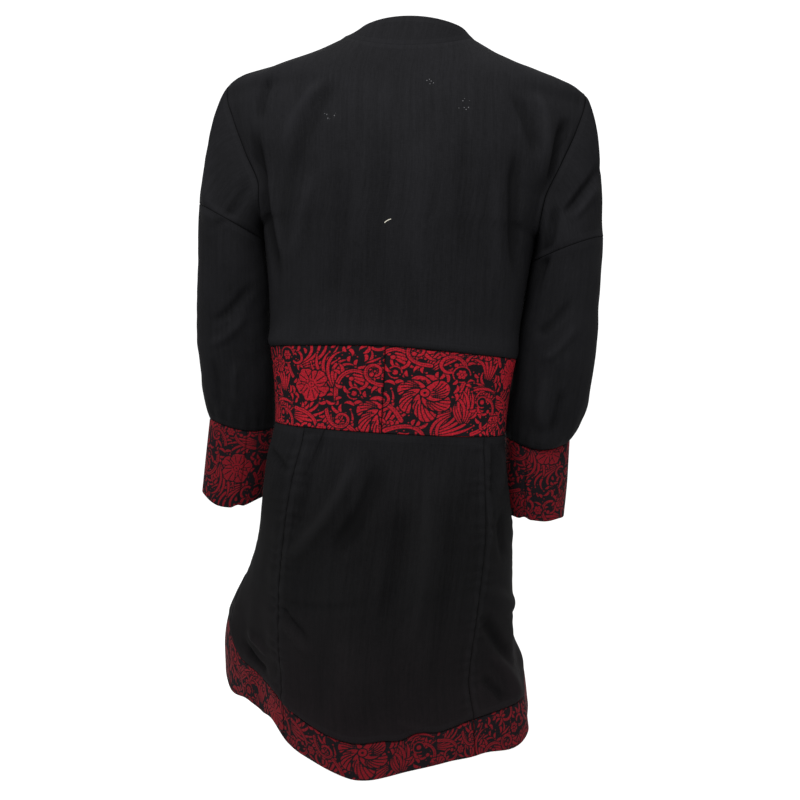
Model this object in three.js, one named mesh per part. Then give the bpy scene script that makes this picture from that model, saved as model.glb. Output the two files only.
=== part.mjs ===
// A woman's manteau coat of black cloth with a woven red and black band at the waist, the hem and the cuffs.
// It stands filled out as when worn, with nobody in it: every panel is a thin shell and the inside is empty.
// Millimetres, +Z up. The origin is on the coat's middle line between the shoulder points, at the height of
// the seam round the sides of the neck. The front faces -Y and the wearer's left is +X.
import * as THREE from "three";

// ---- sizes -------------------------------------------------------------------------------------------
const WALL = 1.8; // cloth with its turned edges
const BAND_WALL = 2.4; // brocade with its backing
const SEAM = 0.3; // space left where two pieces are sewn together
const ARMHOLE_SEAM = 0.45; // the same at the armholes, whose facets turn more sharply

const NECK_HALF_WIDTH = 80; // centre to the neck end of the shoulder seam
const NECK_SIDE_Y = -2;
const NECK_SIDE_Z = 12;
const NAPE = { y: 58, z: -21 }; // centre back of the neck seam
const FRONT_NECK = { y: -66, z: -82 }; // centre front of the neck seam
const SHOULDER = { x: 219, y: -5, zLeft: -54, zRight: -66 }; // arm end of the shoulder seams
const NECK_SHARE = 0.4; // share of a panel's top edge that is neck and not shoulder
const NECK_SCOOP = 1.3; // how flat the neck seam runs at its centre before it climbs to the shoulder

const WAIST_Z = -375; // top edge of the waist band at the centre back
const WAIST_BAND_HEIGHT = 102;
const HEM_BAND_HEIGHT = 47;
const HEM_Z = -873; // lower edge of the coat at the centre back
const WAIST_FOOT = WAIST_Z - WAIST_BAND_HEIGHT;
const HEM_TOP = HEM_Z + HEM_BAND_HEIGHT;
const CUFF_Z = -485; // top edge of the cuffs
const CUFF_HEIGHT = 105;

const FULLNESS = 0.05; // how much squarer than an ellipse the coat is in plan

// Back of the bodice, one row a section: height and depth at the centre back, half width of the whole
// section, height of the panel's edge (side seam below the arm, armhole above it), and how far round the
// section the panel has turned at its left and right edges.
const BACK_SECTIONS = [
  { z: -375, y: 88, half: 157, edgeZ: -382, turnLeft: 90, turnRight: 90 },
  { z: -330, y: 91, half: 160, edgeZ: -334, turnLeft: 90, turnRight: 90 },
  { z: -280, y: 97, half: 165, edgeZ: -283, turnLeft: 90, turnRight: 90 },
  { z: -235, y: 101, half: 171, edgeZ: -235, turnLeft: 90, turnRight: 90 },
  { z: -216, y: 102, half: 178, edgeZ: -223, turnLeft: 68, turnRight: 72 },
  { z: -182, y: 102, half: 190, edgeZ: -192, turnLeft: 58, turnRight: 64 },
  { z: -141, y: 99, half: 211, edgeZ: -150, turnLeft: 58, turnRight: 62 },
  { z: -99, y: 90, half: 230, edgeZ: -109, turnLeft: 59, turnRight: 61 },
  { z: -58, y: 75, half: 239, edgeZ: -77, turnLeft: 61, turnRight: 61 },
  { z: -21, y: 58, half: 219, edgeZ: -57, turnLeft: 90, turnRight: 90 },
];

// The front of the bodice in the same way. Its centre edge ends at the front of the neck.
const FRONT_SECTIONS = [
  { z: -385, y: -100, half: 157, edgeZ: -382, turnLeft: 90, turnRight: 90 },
  { z: -335, y: -104, half: 160, edgeZ: -334, turnLeft: 90, turnRight: 90 },
  { z: -283, y: -109, half: 165, edgeZ: -283, turnLeft: 90, turnRight: 90 },
  { z: -235, y: -112, half: 171, edgeZ: -235, turnLeft: 90, turnRight: 90 },
  { z: -222, y: -111, half: 177, edgeZ: -223, turnLeft: 72, turnRight: 72 },
  { z: -196, y: -108, half: 189, edgeZ: -192, turnLeft: 62, turnRight: 63 },
  { z: -166, y: -102, half: 209, edgeZ: -150, turnLeft: 61, turnRight: 62 },
  { z: -136, y: -93, half: 228, edgeZ: -109, turnLeft: 61, turnRight: 61 },
  { z: -108, y: -80, half: 238, edgeZ: -77, turnLeft: 62, turnRight: 62 },
  { z: -82, y: -66, half: 219, edgeZ: -57, turnLeft: 90, turnRight: 90 },
];
const UNDERARM_UP = 3 / 9; // the section at the underarm, as a share of the way up
const BODICE_ROWS = 15; // facets up a panel: 5 of them up to the underarm, 10 along the armhole
const BODICE_COLUMNS = 10; // facets across half the body
const NECK_COLUMNS = 4; // those of them that lie along the neck
const SLEEVE_COLUMNS = 20; // facets round a sleeve, one to each facet of the armhole
const EDGE_TURN = 2.5; // how late across a section the panel's short turn is taken up
// The cloth rounds over the top of the shoulder: how far back and up, the place of its ridge up the panel
// and how far it spreads, and the places across where it begins and is full.
const CROWN = { back: 8, up: 1, ridge: 0.93, spread: 0.07, begin: 0.2, full: 0.5 };
const FOLD_EDGE = 0.15; // share of a panel's width over which its folds die out before the edge

// Waist band and skirt, one row a ring: height at the centre back, how much higher the ring is at the left
// side, the right side and the front, the half width to each side, and the depth behind and before.
const RINGS = [
  { z: -375, liftLeft: -7, liftRight: -7, liftFront: -10, left: 157, right: 157, back: 88, front: 100 },
  { z: -428, liftLeft: -3, liftRight: -3, liftFront: -5, left: 150, right: 151, back: 86, front: 97 },
  { z: -477, liftLeft: 0, liftRight: 0, liftFront: 0, left: 147, right: 149, back: 89, front: 99 },
  { z: -540, liftLeft: 6, liftRight: 3, liftFront: 9, left: 155, right: 156, back: 103, front: 109 },
  { z: -610, liftLeft: 13, liftRight: 6, liftFront: 20, left: 161, right: 166, back: 116, front: 119 },
  { z: -700, liftLeft: 23, liftRight: 10, liftFront: 36, left: 175, right: 173, back: 127, front: 130 },
  { z: -770, liftLeft: 30, liftRight: 12, liftFront: 48, left: 184, right: 181, back: 132, front: 138 },
  { z: -826, liftLeft: 35, liftRight: 14, liftFront: 57, left: 186, right: 192, back: 131, front: 143 },
  { z: -873, liftLeft: 38, liftRight: 14, liftFront: 62, left: 187, right: 200, back: 126, front: 146 },
];
const LIFT_ROUNDING = 0.2; // how softly the rings start to rise on each side of the centre back

// Seams that run down the skirt: angle round the body from the centre back, plus to the wearer's left.
const SKIRT_SEAMS = {
  backLeft: { waist: 38, middle: 41, hem: 34 },
  backRight: { waist: -51, middle: -48, hem: -46 },
  sideLeft: { waist: 90, middle: 92, hem: 92 },
  sideRight: { waist: -90, middle: -92, hem: -92 },
  frontLeft: { waist: 180, middle: 180, hem: 180 },
  frontRight: { waist: -180, middle: -180, hem: -180 },
};

// Soft folds of the skirt: angle at the waist and at the hem, how far round each one spreads, the heights
// at which it starts and is full, and how far it stands out (minus where it sinks in).
const SKIRT_FOLDS = [
  { waist: 96, hem: 121, spread: 42, start: -640, full: -845, out: 56 },
  { waist: 52, hem: 52, spread: 42, start: -560, full: -850, out: -32 },
  { waist: -56, hem: -48, spread: 44, start: -560, full: -850, out: -28 },
  { waist: 12, hem: 3, spread: 20, start: -560, full: -840, out: 9 },
  { waist: -14, hem: -13, spread: 17, start: -500, full: -800, out: -8 },
  { waist: 26, hem: 46, spread: 20, start: -470, full: -620, out: 4 },
  { waist: -120, hem: -124, spread: 30, start: -600, full: -830, out: 22 },
  { waist: -150, hem: -156, spread: 18, start: -560, full: -820, out: -8 },
  { waist: 150, hem: 160, spread: 18, start: -560, full: -820, out: -8 },
];

// Soft folds of the back: place across (0 centre, 1 armhole) at the top and the lower end, the heights of
// those ends, how far across each one spreads, and how far it stands out.
const BACK_FOLDS = [
  { side: 1, upper: 0.42, lower: 0.86, top: -30, end: -150, spread: 0.16, out: 3 },
  { side: 1, upper: 0.2, lower: 0.66, top: -40, end: -230, spread: 0.14, out: -3 },
  { side: -1, upper: 0.5, lower: 0.72, top: -50, end: -190, spread: 0.16, out: 3 },
  { side: -1, upper: 0.9, lower: 0.8, top: -120, end: -330, spread: 0.2, out: -4 },
];

// The two sleeves. The piecing seam crosses the upper arm, higher outside than inside. One row a ring, down
// to the cuff: height, centre out from the middle and forward, half width and half depth.
const SLEEVES = {
  left: {
    side: 1,
    pieceSlant: 21,
    rings: [
      { z: -226, x: 214, y: 0, across: 43, deep: 57 },
      { z: -300, x: 214, y: -10, across: 47, deep: 54 },
      { z: -380, x: 214, y: -27, across: 51, deep: 53 },
      { z: -430, x: 211, y: -40, across: 52, deep: 51 },
      { z: -465, x: 210, y: -50, across: 49, deep: 46 },
      { z: -485, x: 209, y: -55, across: 46, deep: 41 },
    ],
    cuff: [
      { z: -485, x: 209, y: -55, across: 46, deep: 41 },
      { z: -535, x: 213, y: -59, across: 47, deep: 42 },
      { z: -590, x: 220, y: -63, across: 45, deep: 42 },
    ],
  },
  right: {
    side: -1,
    pieceSlant: 18,
    rings: [
      { z: -243, x: 212, y: -14, across: 44, deep: 57 },
      { z: -300, x: 210, y: -22, across: 48, deep: 54 },
      { z: -380, x: 208, y: -34, across: 53, deep: 53 },
      { z: -430, x: 204, y: -41, across: 53, deep: 51 },
      { z: -465, x: 199, y: -50, across: 49, deep: 46 },
      { z: -485, x: 195, y: -55, across: 43, deep: 41 },
    ],
    cuff: [
      { z: -485, x: 195, y: -55, across: 43, deep: 41 },
      { z: -535, x: 196, y: -59, across: 43, deep: 42 },
      { z: -590, x: 197, y: -63, across: 41, deep: 42 },
    ],
  },
};
// How the top of the sleeve rounds over: out and down at the shoulder, out and up at the underarm.
const SLEEVE_CAP = { shoulderOut: 22, shoulderUp: -24, underarmOut: 1, underarmUp: 6 };
const SLANT_FADE = 1.5; // how soon the slant of the piecing seam is lost down the sleeve

// Neck band: a narrow stand, deepest at the centre back, that leans in toward the neck.
const NECK_BAND = {
  backHeight: 36,
  sideHeight: 8,
  frontHeight: 13,
  leanBack: 14,
  leanSide: 12,
  leanFront: 6,
  shift: -5, // the top edge hangs a little to the wearer's right
  middleY: 5, // the band leans in toward this line
  rounding: 1.6, // how fast its height falls away from the centre
};

// Facets across a quarter of the waist band, and up each kind of piece.
const WAIST_COLUMNS = 10;
const ROWS = { waist: 3, skirt: 9, hem: 2, neck: 2, upperSleeve: 6, lowerSleeve: 7, cuff: 3 };

// ---- cloths ------------------------------------------------------------------------------------------
const CLOTHS = {
  black_cloth: { color: 0x19191b, roughness: 0.9, metalness: 0 },
  brocade: { color: 0x8c1426, roughness: 0.8, metalness: 0 },
};

const coat = new THREE.Group();
coat.name = "manteau_coat";

// ---- small helpers -----------------------------------------------------------------------------------
const radians = THREE.MathUtils.degToRad;
const mix = THREE.MathUtils.lerp;

// Eases from 0 at a to 1 at b.
function ease(value, a, b) {
  const t = THREE.MathUtils.clamp((value - a) / (b - a), 0, 1);
  return t * t * (3 - 2 * t);
}

// A soft bump: 1 in the middle, 0 once `far` has reached `spread`.
function bump(far, spread) {
  return Math.abs(far) < spread ? 0.5 + 0.5 * Math.cos((Math.PI * far) / spread) : 0;
}

// The slope of a smooth curve at a row, from the slopes before and after it. It never overshoots.
function rowSlope(before, after) {
  return before * after > 0 ? (2 * before * after) / (before + after) : 0;
}

// Every column of a table at a place between its rows, on a smooth curve through the rows.
function between(rows, key, at) {
  const rising = rows[1][key] > rows[0][key] ? 1 : -1;
  let i = 0;
  while (i < rows.length - 2 && (at - rows[i + 1][key]) * rising > 0) i += 1;
  const length = rows[i + 1][key] - rows[i][key];
  const t = (at - rows[i][key]) / length;
  const found = {};
  for (const column of Object.keys(rows[i])) {
    const slope = (n) => (rows[n + 1][column] - rows[n][column]) / (rows[n + 1][key] - rows[n][key]);
    const start = i > 0 ? rowSlope(slope(i - 1), slope(i)) : slope(i);
    const end = i < rows.length - 2 ? rowSlope(slope(i), slope(i + 1)) : slope(i);
    found[column] =
      rows[i][column] * (1 + 2 * t) * (1 - t) ** 2 +
      start * length * t * (1 - t) ** 2 +
      rows[i + 1][column] * t * t * (3 - 2 * t) +
      end * length * t * t * (t - 1);
  }
  return found;
}

// Plan outline of the coat at an angle from the centre back, for half widths of 1.
function plan(angle) {
  const full = 1 + FULLNESS * Math.sin(2 * angle) ** 2;
  return { x: Math.sin(angle) * full, y: Math.cos(angle) * full };
}

// ---- the form ----------------------------------------------------------------------------------------
// The top edge of a bodice panel, from the centre of the neck (0) to the arm end of the shoulder (1).
function topEdge(across, neckCentre) {
  const x = Math.abs(across);
  if (x < NECK_SHARE) {
    const a = (x / NECK_SHARE) * (Math.PI / 2);
    return new THREE.Vector3(
      NECK_HALF_WIDTH * Math.sin(a),
      mix(NECK_SIDE_Y, neckCentre.y, Math.cos(a)),
      mix(NECK_SIDE_Z, neckCentre.z, Math.cos(a) ** NECK_SCOOP),
    );
  }
  const t = (x - NECK_SHARE) / (1 - NECK_SHARE);
  return new THREE.Vector3(
    mix(NECK_HALF_WIDTH, SHOULDER.x, t),
    mix(NECK_SIDE_Y, SHOULDER.y, t),
    mix(NECK_SIDE_Z, across < 0 ? SHOULDER.zRight : SHOULDER.zLeft, t),
  );
}

// A point of one section row of the bodice, as if it lay on the left.
function sectionPoint(row, across) {
  const share = Math.abs(across);
  const short = 90 - (across < 0 ? row.turnRight : row.turnLeft);
  const here = plan(radians(90 * share - short * share ** EDGE_TURN));
  const z = mix(row.edgeZ, row.z, (1 + Math.cos(Math.PI * share)) / 2);
  return new THREE.Vector3(row.half * here.x, row.y * here.y, z);
}

// A bodice panel at a place across (-1 right edge, 1 left edge) and up (0 waist, 1 top edge).
function bodice(sections, neckCentre, folds, across, up) {
  const last = sections.length - 1;
  const toward = Math.sign(neckCentre.y);
  const rows = sections.map((row, i) => {
    let p = i === last ? topEdge(across, neckCentre) : sectionPoint(row, across);
    if (i === 0) p = skirtAt(toward > 0 ? 90 * Math.abs(across) : 180 - 90 * Math.abs(across), WAIST_Z);
    return { up: i / last, x: p.x, y: p.y, z: p.z };
  });
  const at = between(rows, "up", up);
  const point = new THREE.Vector3(at.x * Math.sign(across), at.y, at.z);
  const crown = bump(up - CROWN.ridge, CROWN.spread) * ease(Math.abs(across), CROWN.begin, CROWN.full);
  point.add(new THREE.Vector3(0, toward * CROWN.back * crown, CROWN.up * crown));
  for (const fold of folds) {
    const along = THREE.MathUtils.clamp((fold.top - at.z) / (fold.top - fold.end), 0, 1);
    const far = across * fold.side - mix(fold.upper, fold.lower, along);
    const fade = Math.sin(Math.PI * along) * ease(1 - Math.abs(across), 0, FOLD_EDGE);
    point.y += toward * fold.out * bump(far, fold.spread) * fade;
  }
  return point;
}
const backAt = (across, up) => bodice(BACK_SECTIONS, NAPE, BACK_FOLDS, across, up);
const frontAt = (across, up) => bodice(FRONT_SECTIONS, FRONT_NECK, [], across, up);

// The waist band and skirt at an angle in degrees and a height (as measured at the centre back).
function skirtAt(degrees, z) {
  const row = between(RINGS, "z", z);
  const angle = radians(degrees);
  const here = plan(angle);
  let out = 0;
  for (const fold of SKIRT_FOLDS) {
    const down = THREE.MathUtils.clamp((z - WAIST_Z) / (HEM_Z - WAIST_Z), 0, 1);
    const far = degrees - mix(fold.waist, fold.hem, down);
    out += fold.out * bump(far, fold.spread) * ease(z, fold.start, fold.full);
  }
  const soft = (s) => Math.hypot(s, LIFT_ROUNDING) - LIFT_ROUNDING;
  const ahead = Math.min(Math.cos(angle), 0) ** 2;
  const side = here.x > 0 ? row.liftLeft : row.liftRight;
  const lift = ahead > 0 ? mix(side, row.liftFront, ahead) : (side * soft(here.x)) / soft(1);
  return new THREE.Vector3(
    here.x * (here.x > 0 ? row.left : row.right) + out * Math.sin(angle),
    here.y * (here.y > 0 ? row.back : row.front) + out * Math.cos(angle),
    z + lift,
  );
}

// ---- shells ------------------------------------------------------------------------------------------
const STEP = 1e-3; // share of a surface's length over which its slope is measured
const atFoot = (v) => v < STEP;
const atTop = (v) => v > 1 - STEP;

// The way out of a surface at (u, v). `flip` turns it round where u and v run the other way.
function wayOut(at, u, v, flip) {
  const [u0, u1, v0, v1] = [u - STEP, u + STEP, Math.max(v - STEP, 0), Math.min(v + STEP, 1)];
  const alongU = at(u1, v).sub(at(u0, v));
  const alongV = at(u, v1).sub(at(u, v0));
  return alongU.cross(alongV).normalize().multiplyScalar(flip);
}

// Adds a named shell. at(u, v) is the outside face for u and v from 0 to 1, out(u, v) the way out.
// `round` joins the two ends of u into a tube.
function addShell(name, cloth, wall, columns, rows, at, out, round = false) {
  const points = [];
  const across = round ? columns : columns + 1;
  for (const depth of [0, wall])
    for (let j = 0; j <= rows; j += 1)
      for (let i = 0; i < across; i += 1) {
        const [u, v] = [i / columns, j / rows];
        points.push(at(u, v).addScaledVector(out(u, v), -depth));
      }
  const skin = across * (rows + 1);
  const outer = (i, j) => j * across + (i % across);
  const inner = (i, j) => skin + outer(i, j);
  const faces = [];
  const quad = (a, b, c, d) => faces.push(a, b, c, a, c, d);
  for (let j = 0; j < rows; j += 1)
    for (let i = 0; i < columns; i += 1) {
      quad(outer(i, j), outer(i + 1, j), outer(i + 1, j + 1), outer(i, j + 1));
      quad(inner(i, j), inner(i, j + 1), inner(i + 1, j + 1), inner(i + 1, j));
    }
  for (let i = 0; i < columns; i += 1) {
    quad(outer(i + 1, 0), outer(i, 0), inner(i, 0), inner(i + 1, 0));
    quad(outer(i, rows), outer(i + 1, rows), inner(i + 1, rows), inner(i, rows));
  }
  for (let j = 0; j < rows && !round; j += 1) {
    quad(outer(0, j + 1), inner(0, j + 1), inner(0, j), outer(0, j));
    quad(outer(columns, j), inner(columns, j), inner(columns, j + 1), outer(columns, j + 1));
  }
  const shape = new THREE.BufferGeometry().setFromPoints(points);
  shape.setIndex(faces);
  shape.computeVertexNormals();
  const mesh = new THREE.Mesh(shape, new THREE.MeshStandardMaterial(CLOTHS[cloth]));
  mesh.name = name;
  coat.add(mesh);
}

// How the cloth faces along the neck seam, at the centre and at the shoulder seam, where it lies level.
const NECK_FACING = { centreOut: 0.9, centreUp: 0.55, sideOut: 0.25, sideUp: 0.4 };
const SHOULDER_FACING = new THREE.Vector3(48, 0, 139).normalize(); // square to the slope of the shoulder
const FACING_CHANGE = { from: NECK_SHARE * 0.6, to: NECK_SHARE * 1.1 };

// The way out at the neck and shoulder seams, shared by the panels that meet there.
function topWayOut(across, neckCentre) {
  const x = Math.abs(across);
  const toward = Math.sign(neckCentre.y);
  const a = (Math.min(x / NECK_SHARE, 1) * Math.PI) / 2;
  const out = new THREE.Vector3(
    NECK_FACING.sideOut * Math.sin(a),
    toward * NECK_FACING.centreOut * Math.cos(a),
    NECK_FACING.centreUp + NECK_FACING.sideUp * Math.sin(a),
  ).normalize();
  out.lerp(SHOULDER_FACING, ease(x, FACING_CHANGE.from, FACING_CHANGE.to)).normalize();
  out.x *= Math.sign(across);
  return out;
}

// ---- bodice ------------------------------------------------------------------------------------------
// Where a panel's edge is sewn, its points stand half a seam back from the line.
function bodicePanel(name, at, neckCentre, from, to, columns) {
  const toward = Math.sign(neckCentre.y);
  const place = (u, v) => {
    const across = mix(from, to, u);
    const point = at(across, v);
    const onSide = atTop(Math.abs(across)) && v < UNDERARM_UP + STEP;
    const onShoulder = atTop(v) && Math.abs(across) >= NECK_SHARE;
    if (onSide || onShoulder) point.y += (toward * SEAM) / 2;
    if (atFoot(v)) point.z += SEAM / 2;
    if (atFoot(Math.abs(across)) && toward < 0) point.x += (Math.sign(from + to) * SEAM) / 2;
    return point;
  };
  const out = (u, v) => {
    const across = mix(from, to, u);
    if (atTop(v)) return topWayOut(across || Math.sign(from + to) * Number.EPSILON, neckCentre);
    return wayOut(at, across, v, Math.sign(to - from));
  };
  addShell(name, "black_cloth", WALL, columns, BODICE_ROWS, place, out);
}
bodicePanel("back_bodice", backAt, NAPE, 1, -1, 2 * BODICE_COLUMNS);
bodicePanel("front_bodice_left", frontAt, FRONT_NECK, 0, 1, BODICE_COLUMNS);
bodicePanel("front_bodice_right", frontAt, FRONT_NECK, -1, 0, BODICE_COLUMNS);

// ---- neck band ---------------------------------------------------------------------------------------
// Goes round the neck from the left side of the centre front to the right (0 to 1), and up (0 to 1).
function neckBandAt(round, up) {
  const turn = mix(-2, 2, round); // 0 at the centre back, 1 and -1 at the shoulders, 2 and -2 in front
  const behind = Math.abs(turn) < 1;
  const neckCentre = behind ? NAPE : FRONT_NECK;
  const across = Math.sign(-turn || 1) * NECK_SHARE * (behind ? Math.abs(turn) : 2 - Math.abs(turn));
  const side = Math.sign(across || -turn || 1);
  const foot = topEdge(across, neckCentre);
  const out = topWayOut(across || side * Number.EPSILON, neckCentre);
  foot.x *= side;
  const lift = new THREE.Vector3(0, 0, 1).addScaledVector(out, -out.z).normalize();
  foot.addScaledVector(lift, SEAM);
  const middle = Math.abs(Math.cos((turn * Math.PI) / 2)) ** NECK_BAND.rounding;
  const height = mix(NECK_BAND.sideHeight, behind ? NECK_BAND.backHeight : NECK_BAND.frontHeight, middle);
  const lean = mix(NECK_BAND.leanSide, behind ? NECK_BAND.leanBack : NECK_BAND.leanFront, middle);
  const inward = new THREE.Vector3(-foot.x, -(foot.y - NECK_BAND.middleY), 0).normalize();
  foot.addScaledVector(inward, lean * up);
  foot.x += NECK_BAND.shift * up;
  foot.z += height * up;
  if (atTop(Math.abs(turn) - 1)) foot.x = (side * SEAM) / 2;
  return { foot, out };
}
const bandPoint = (u, v) => neckBandAt(u, v).foot;
const bandOut = (u, v) => {
  if (atFoot(v)) return neckBandAt(u, v).out;
  return wayOut(bandPoint, THREE.MathUtils.clamp(u, STEP, 1 - STEP), v, 1);
};
addShell("neck_band", "black_cloth", WALL, 4 * NECK_COLUMNS, ROWS.neck, bandPoint, bandOut);

// ---- waist band, skirt and hem band --------------------------------------------------------------------
// Angle of a seam at a height: from the waist to the middle of the skirt, then on to the hem.
function seamAngle(seam, z) {
  const down = (z - WAIST_FOOT) / (HEM_Z - WAIST_FOOT);
  if (down < 0) return seam.waist;
  if (down < 0.5) return mix(seam.waist, seam.middle, ease(down, 0, 0.5));
  return mix(seam.middle, seam.hem, ease(down, 0.5, 1));
}

// A panel between two seams of the skirt, from one height down to another.
function skirtPanel(name, cloth, wall, leftSeam, rightSeam, upper, lower, columns, rows) {
  const around = (u, z, inset) => mix(seamAngle(leftSeam, z) - inset, seamAngle(rightSeam, z) + inset, u);
  const at = (u, v) => {
    const z = mix(lower, upper, v);
    return skirtAt(around(u, z, 0), z);
  };
  const place = (u, v) => {
    const z = mix(lower + (lower > HEM_Z ? SEAM / 2 : 0), upper - SEAM / 2, v);
    const middle = skirtAt(around(u, z, 0), z);
    return skirtAt(around(u, z, THREE.MathUtils.radToDeg(SEAM / 2 / Math.hypot(middle.x, middle.y))), z);
  };
  addShell(name, cloth, wall, columns, rows, place, (u, v) => wayOut(at, u, v, 1));
}
const CENTRE = { waist: 0, middle: 0, hem: 0 };
const { backLeft, backRight, sideLeft, sideRight, frontLeft, frontRight } = SKIRT_SEAMS;
const waistPiece = (side, left, right) => {
  const [name, across] = [`waist_band_${side}`, WAIST_COLUMNS];
  skirtPanel(name, "brocade", BAND_WALL, left, right, WAIST_Z, WAIST_FOOT, across, ROWS.waist);
};
waistPiece("back_left", sideLeft, CENTRE);
waistPiece("back_right", CENTRE, sideRight);
waistPiece("front_left", frontLeft, sideLeft);
waistPiece("front_right", sideRight, frontRight);
const SKIRT_PIECES = [
  { name: "back_centre", left: backLeft, right: backRight, columns: 16 },
  { name: "side_back_left", left: sideLeft, right: backLeft, columns: 9 },
  { name: "side_back_right", left: backRight, right: sideRight, columns: 8 },
  { name: "front_left", left: frontLeft, right: sideLeft, columns: 12 },
  { name: "front_right", left: sideRight, right: frontRight, columns: 12 },
];
for (const { name, left, right, columns } of SKIRT_PIECES) {
  skirtPanel(`skirt_${name}`, "black_cloth", WALL, left, right, WAIST_FOOT, HEM_TOP, columns, ROWS.skirt);
  skirtPanel(`hem_band_${name}`, "brocade", BAND_WALL, left, right, HEM_TOP, HEM_Z, columns, ROWS.hem);
}

// ---- sleeves -------------------------------------------------------------------------------------------
// One turn round a sleeve: 0 at the top and outside, 0.25 at the back, 0.5 under the arm, 0.75 in front.
function ringAt(sleeve, rings, z, around) {
  const ring = between(rings, "z", z);
  const a = around * Math.PI * 2;
  const x = sleeve.side * (ring.x + ring.across * Math.cos(a));
  return new THREE.Vector3(x, ring.y + ring.deep * Math.sin(a), z);
}

function lowerSleeveAt(sleeve, around, down) {
  const point = ringAt(sleeve, sleeve.rings, mix(sleeve.rings[0].z, CUFF_Z, down), around);
  point.z += sleeve.pieceSlant * Math.cos(around * Math.PI * 2) * (1 - down) ** SLANT_FADE;
  return point;
}

// The armhole that the sleeve is sewn to, in the same turn, and the way out of the bodice there.
function armhole(side, around) {
  const turn = ((around % 1) + 1) % 1;
  const behind = turn <= 0.5;
  const up = mix(1, UNDERARM_UP, behind ? turn * 2 : 2 - turn * 2);
  const at = behind ? backAt : frontAt;
  const out = atTop(up) ? topWayOut(side, NAPE) : wayOut(at, side, up, behind ? -1 : 1);
  return { point: at(side, up), out };
}

function upperSleeveAt(sleeve, around, down) {
  const { side } = sleeve;
  const { point: start, out } = armhole(side, around);
  const facet = 1 / SLEEVE_COLUMNS;
  const along = armhole(side, around + facet).point.sub(armhole(side, around - facet).point);
  start.addScaledVector(along.cross(out).normalize(), side * ARMHOLE_SEAM);
  const end = lowerSleeveAt(sleeve, around, 0);
  end.z += SEAM;
  const top = (1 + Math.cos(around * Math.PI * 2)) / 2;
  const bend = start.clone();
  bend.x += side * mix(SLEEVE_CAP.underarmOut, SLEEVE_CAP.shoulderOut, top);
  bend.z += mix(SLEEVE_CAP.underarmUp, SLEEVE_CAP.shoulderUp, top);
  return new THREE.QuadraticBezierCurve3(start, bend, end).getPoint(down);
}

for (const [sideName, sleeve] of Object.entries(SLEEVES)) {
  const around = (u) => (sleeve.side > 0 ? 1 - u : u);
  const lower = (u, v) => lowerSleeveAt(sleeve, around(u), v);
  const upper = (u, v) => upperSleeveAt(sleeve, around(u), v);
  const lowerOut = (u, v) => wayOut(lower, u, v, 1);
  const piece = (name, cloth, wall, rows, at, out) =>
    addShell(`${name}_${sideName}`, cloth, wall, SLEEVE_COLUMNS, rows, at, out, true);
  const upperOut = (u, v) => {
    if (atTop(v)) return lowerOut(u, 0);
    return atFoot(v) ? armhole(sleeve.side, around(u)).out : wayOut(upper, u, v, 1);
  };
  piece("sleeve_upper", "black_cloth", WALL, ROWS.upperSleeve, upper, upperOut);
  piece("sleeve_lower", "black_cloth", WALL, ROWS.lowerSleeve, lower, lowerOut);
  const cuff = (u, v) => ringAt(sleeve, sleeve.cuff, CUFF_Z - mix(SEAM, CUFF_HEIGHT, v), around(u));
  const cuffOut = (u, v) => wayOut(cuff, u, v, 1);
  piece("cuff", "brocade", BAND_WALL, ROWS.cuff, cuff, cuffOut);
}

export default coat;
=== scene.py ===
"""A woman's manteau coat of black cloth with a red and black brocade waist band, hem and cuffs.

It stands filled out as when worn, with nobody in it. Tables are in millimetres in the coat's own frame, +Z
up, the front toward -Y and the wearer's left toward +X, and meshes are made in metres.
"""

import math

import bpy
import numpy as np
from mathutils import Matrix, Vector


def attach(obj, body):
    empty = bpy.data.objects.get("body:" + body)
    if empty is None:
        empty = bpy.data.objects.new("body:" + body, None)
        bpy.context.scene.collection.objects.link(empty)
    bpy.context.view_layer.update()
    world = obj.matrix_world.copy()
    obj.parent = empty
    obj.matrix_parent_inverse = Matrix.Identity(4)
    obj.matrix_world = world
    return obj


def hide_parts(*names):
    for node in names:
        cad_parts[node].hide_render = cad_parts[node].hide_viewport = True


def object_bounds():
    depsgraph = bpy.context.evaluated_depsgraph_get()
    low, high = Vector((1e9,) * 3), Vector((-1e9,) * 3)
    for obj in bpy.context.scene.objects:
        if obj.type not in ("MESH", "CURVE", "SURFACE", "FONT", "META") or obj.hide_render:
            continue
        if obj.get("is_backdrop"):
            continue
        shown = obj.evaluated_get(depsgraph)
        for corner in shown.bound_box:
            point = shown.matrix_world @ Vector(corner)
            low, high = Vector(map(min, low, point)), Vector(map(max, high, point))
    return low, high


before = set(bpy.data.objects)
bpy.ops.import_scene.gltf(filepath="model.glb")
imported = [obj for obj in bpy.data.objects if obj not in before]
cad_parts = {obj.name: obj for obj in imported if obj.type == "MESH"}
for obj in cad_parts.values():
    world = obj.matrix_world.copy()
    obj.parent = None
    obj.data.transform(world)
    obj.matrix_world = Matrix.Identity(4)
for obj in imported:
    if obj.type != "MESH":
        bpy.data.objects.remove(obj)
cad_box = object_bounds()

MM = 0.001
TURN = 2 * math.pi

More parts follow.
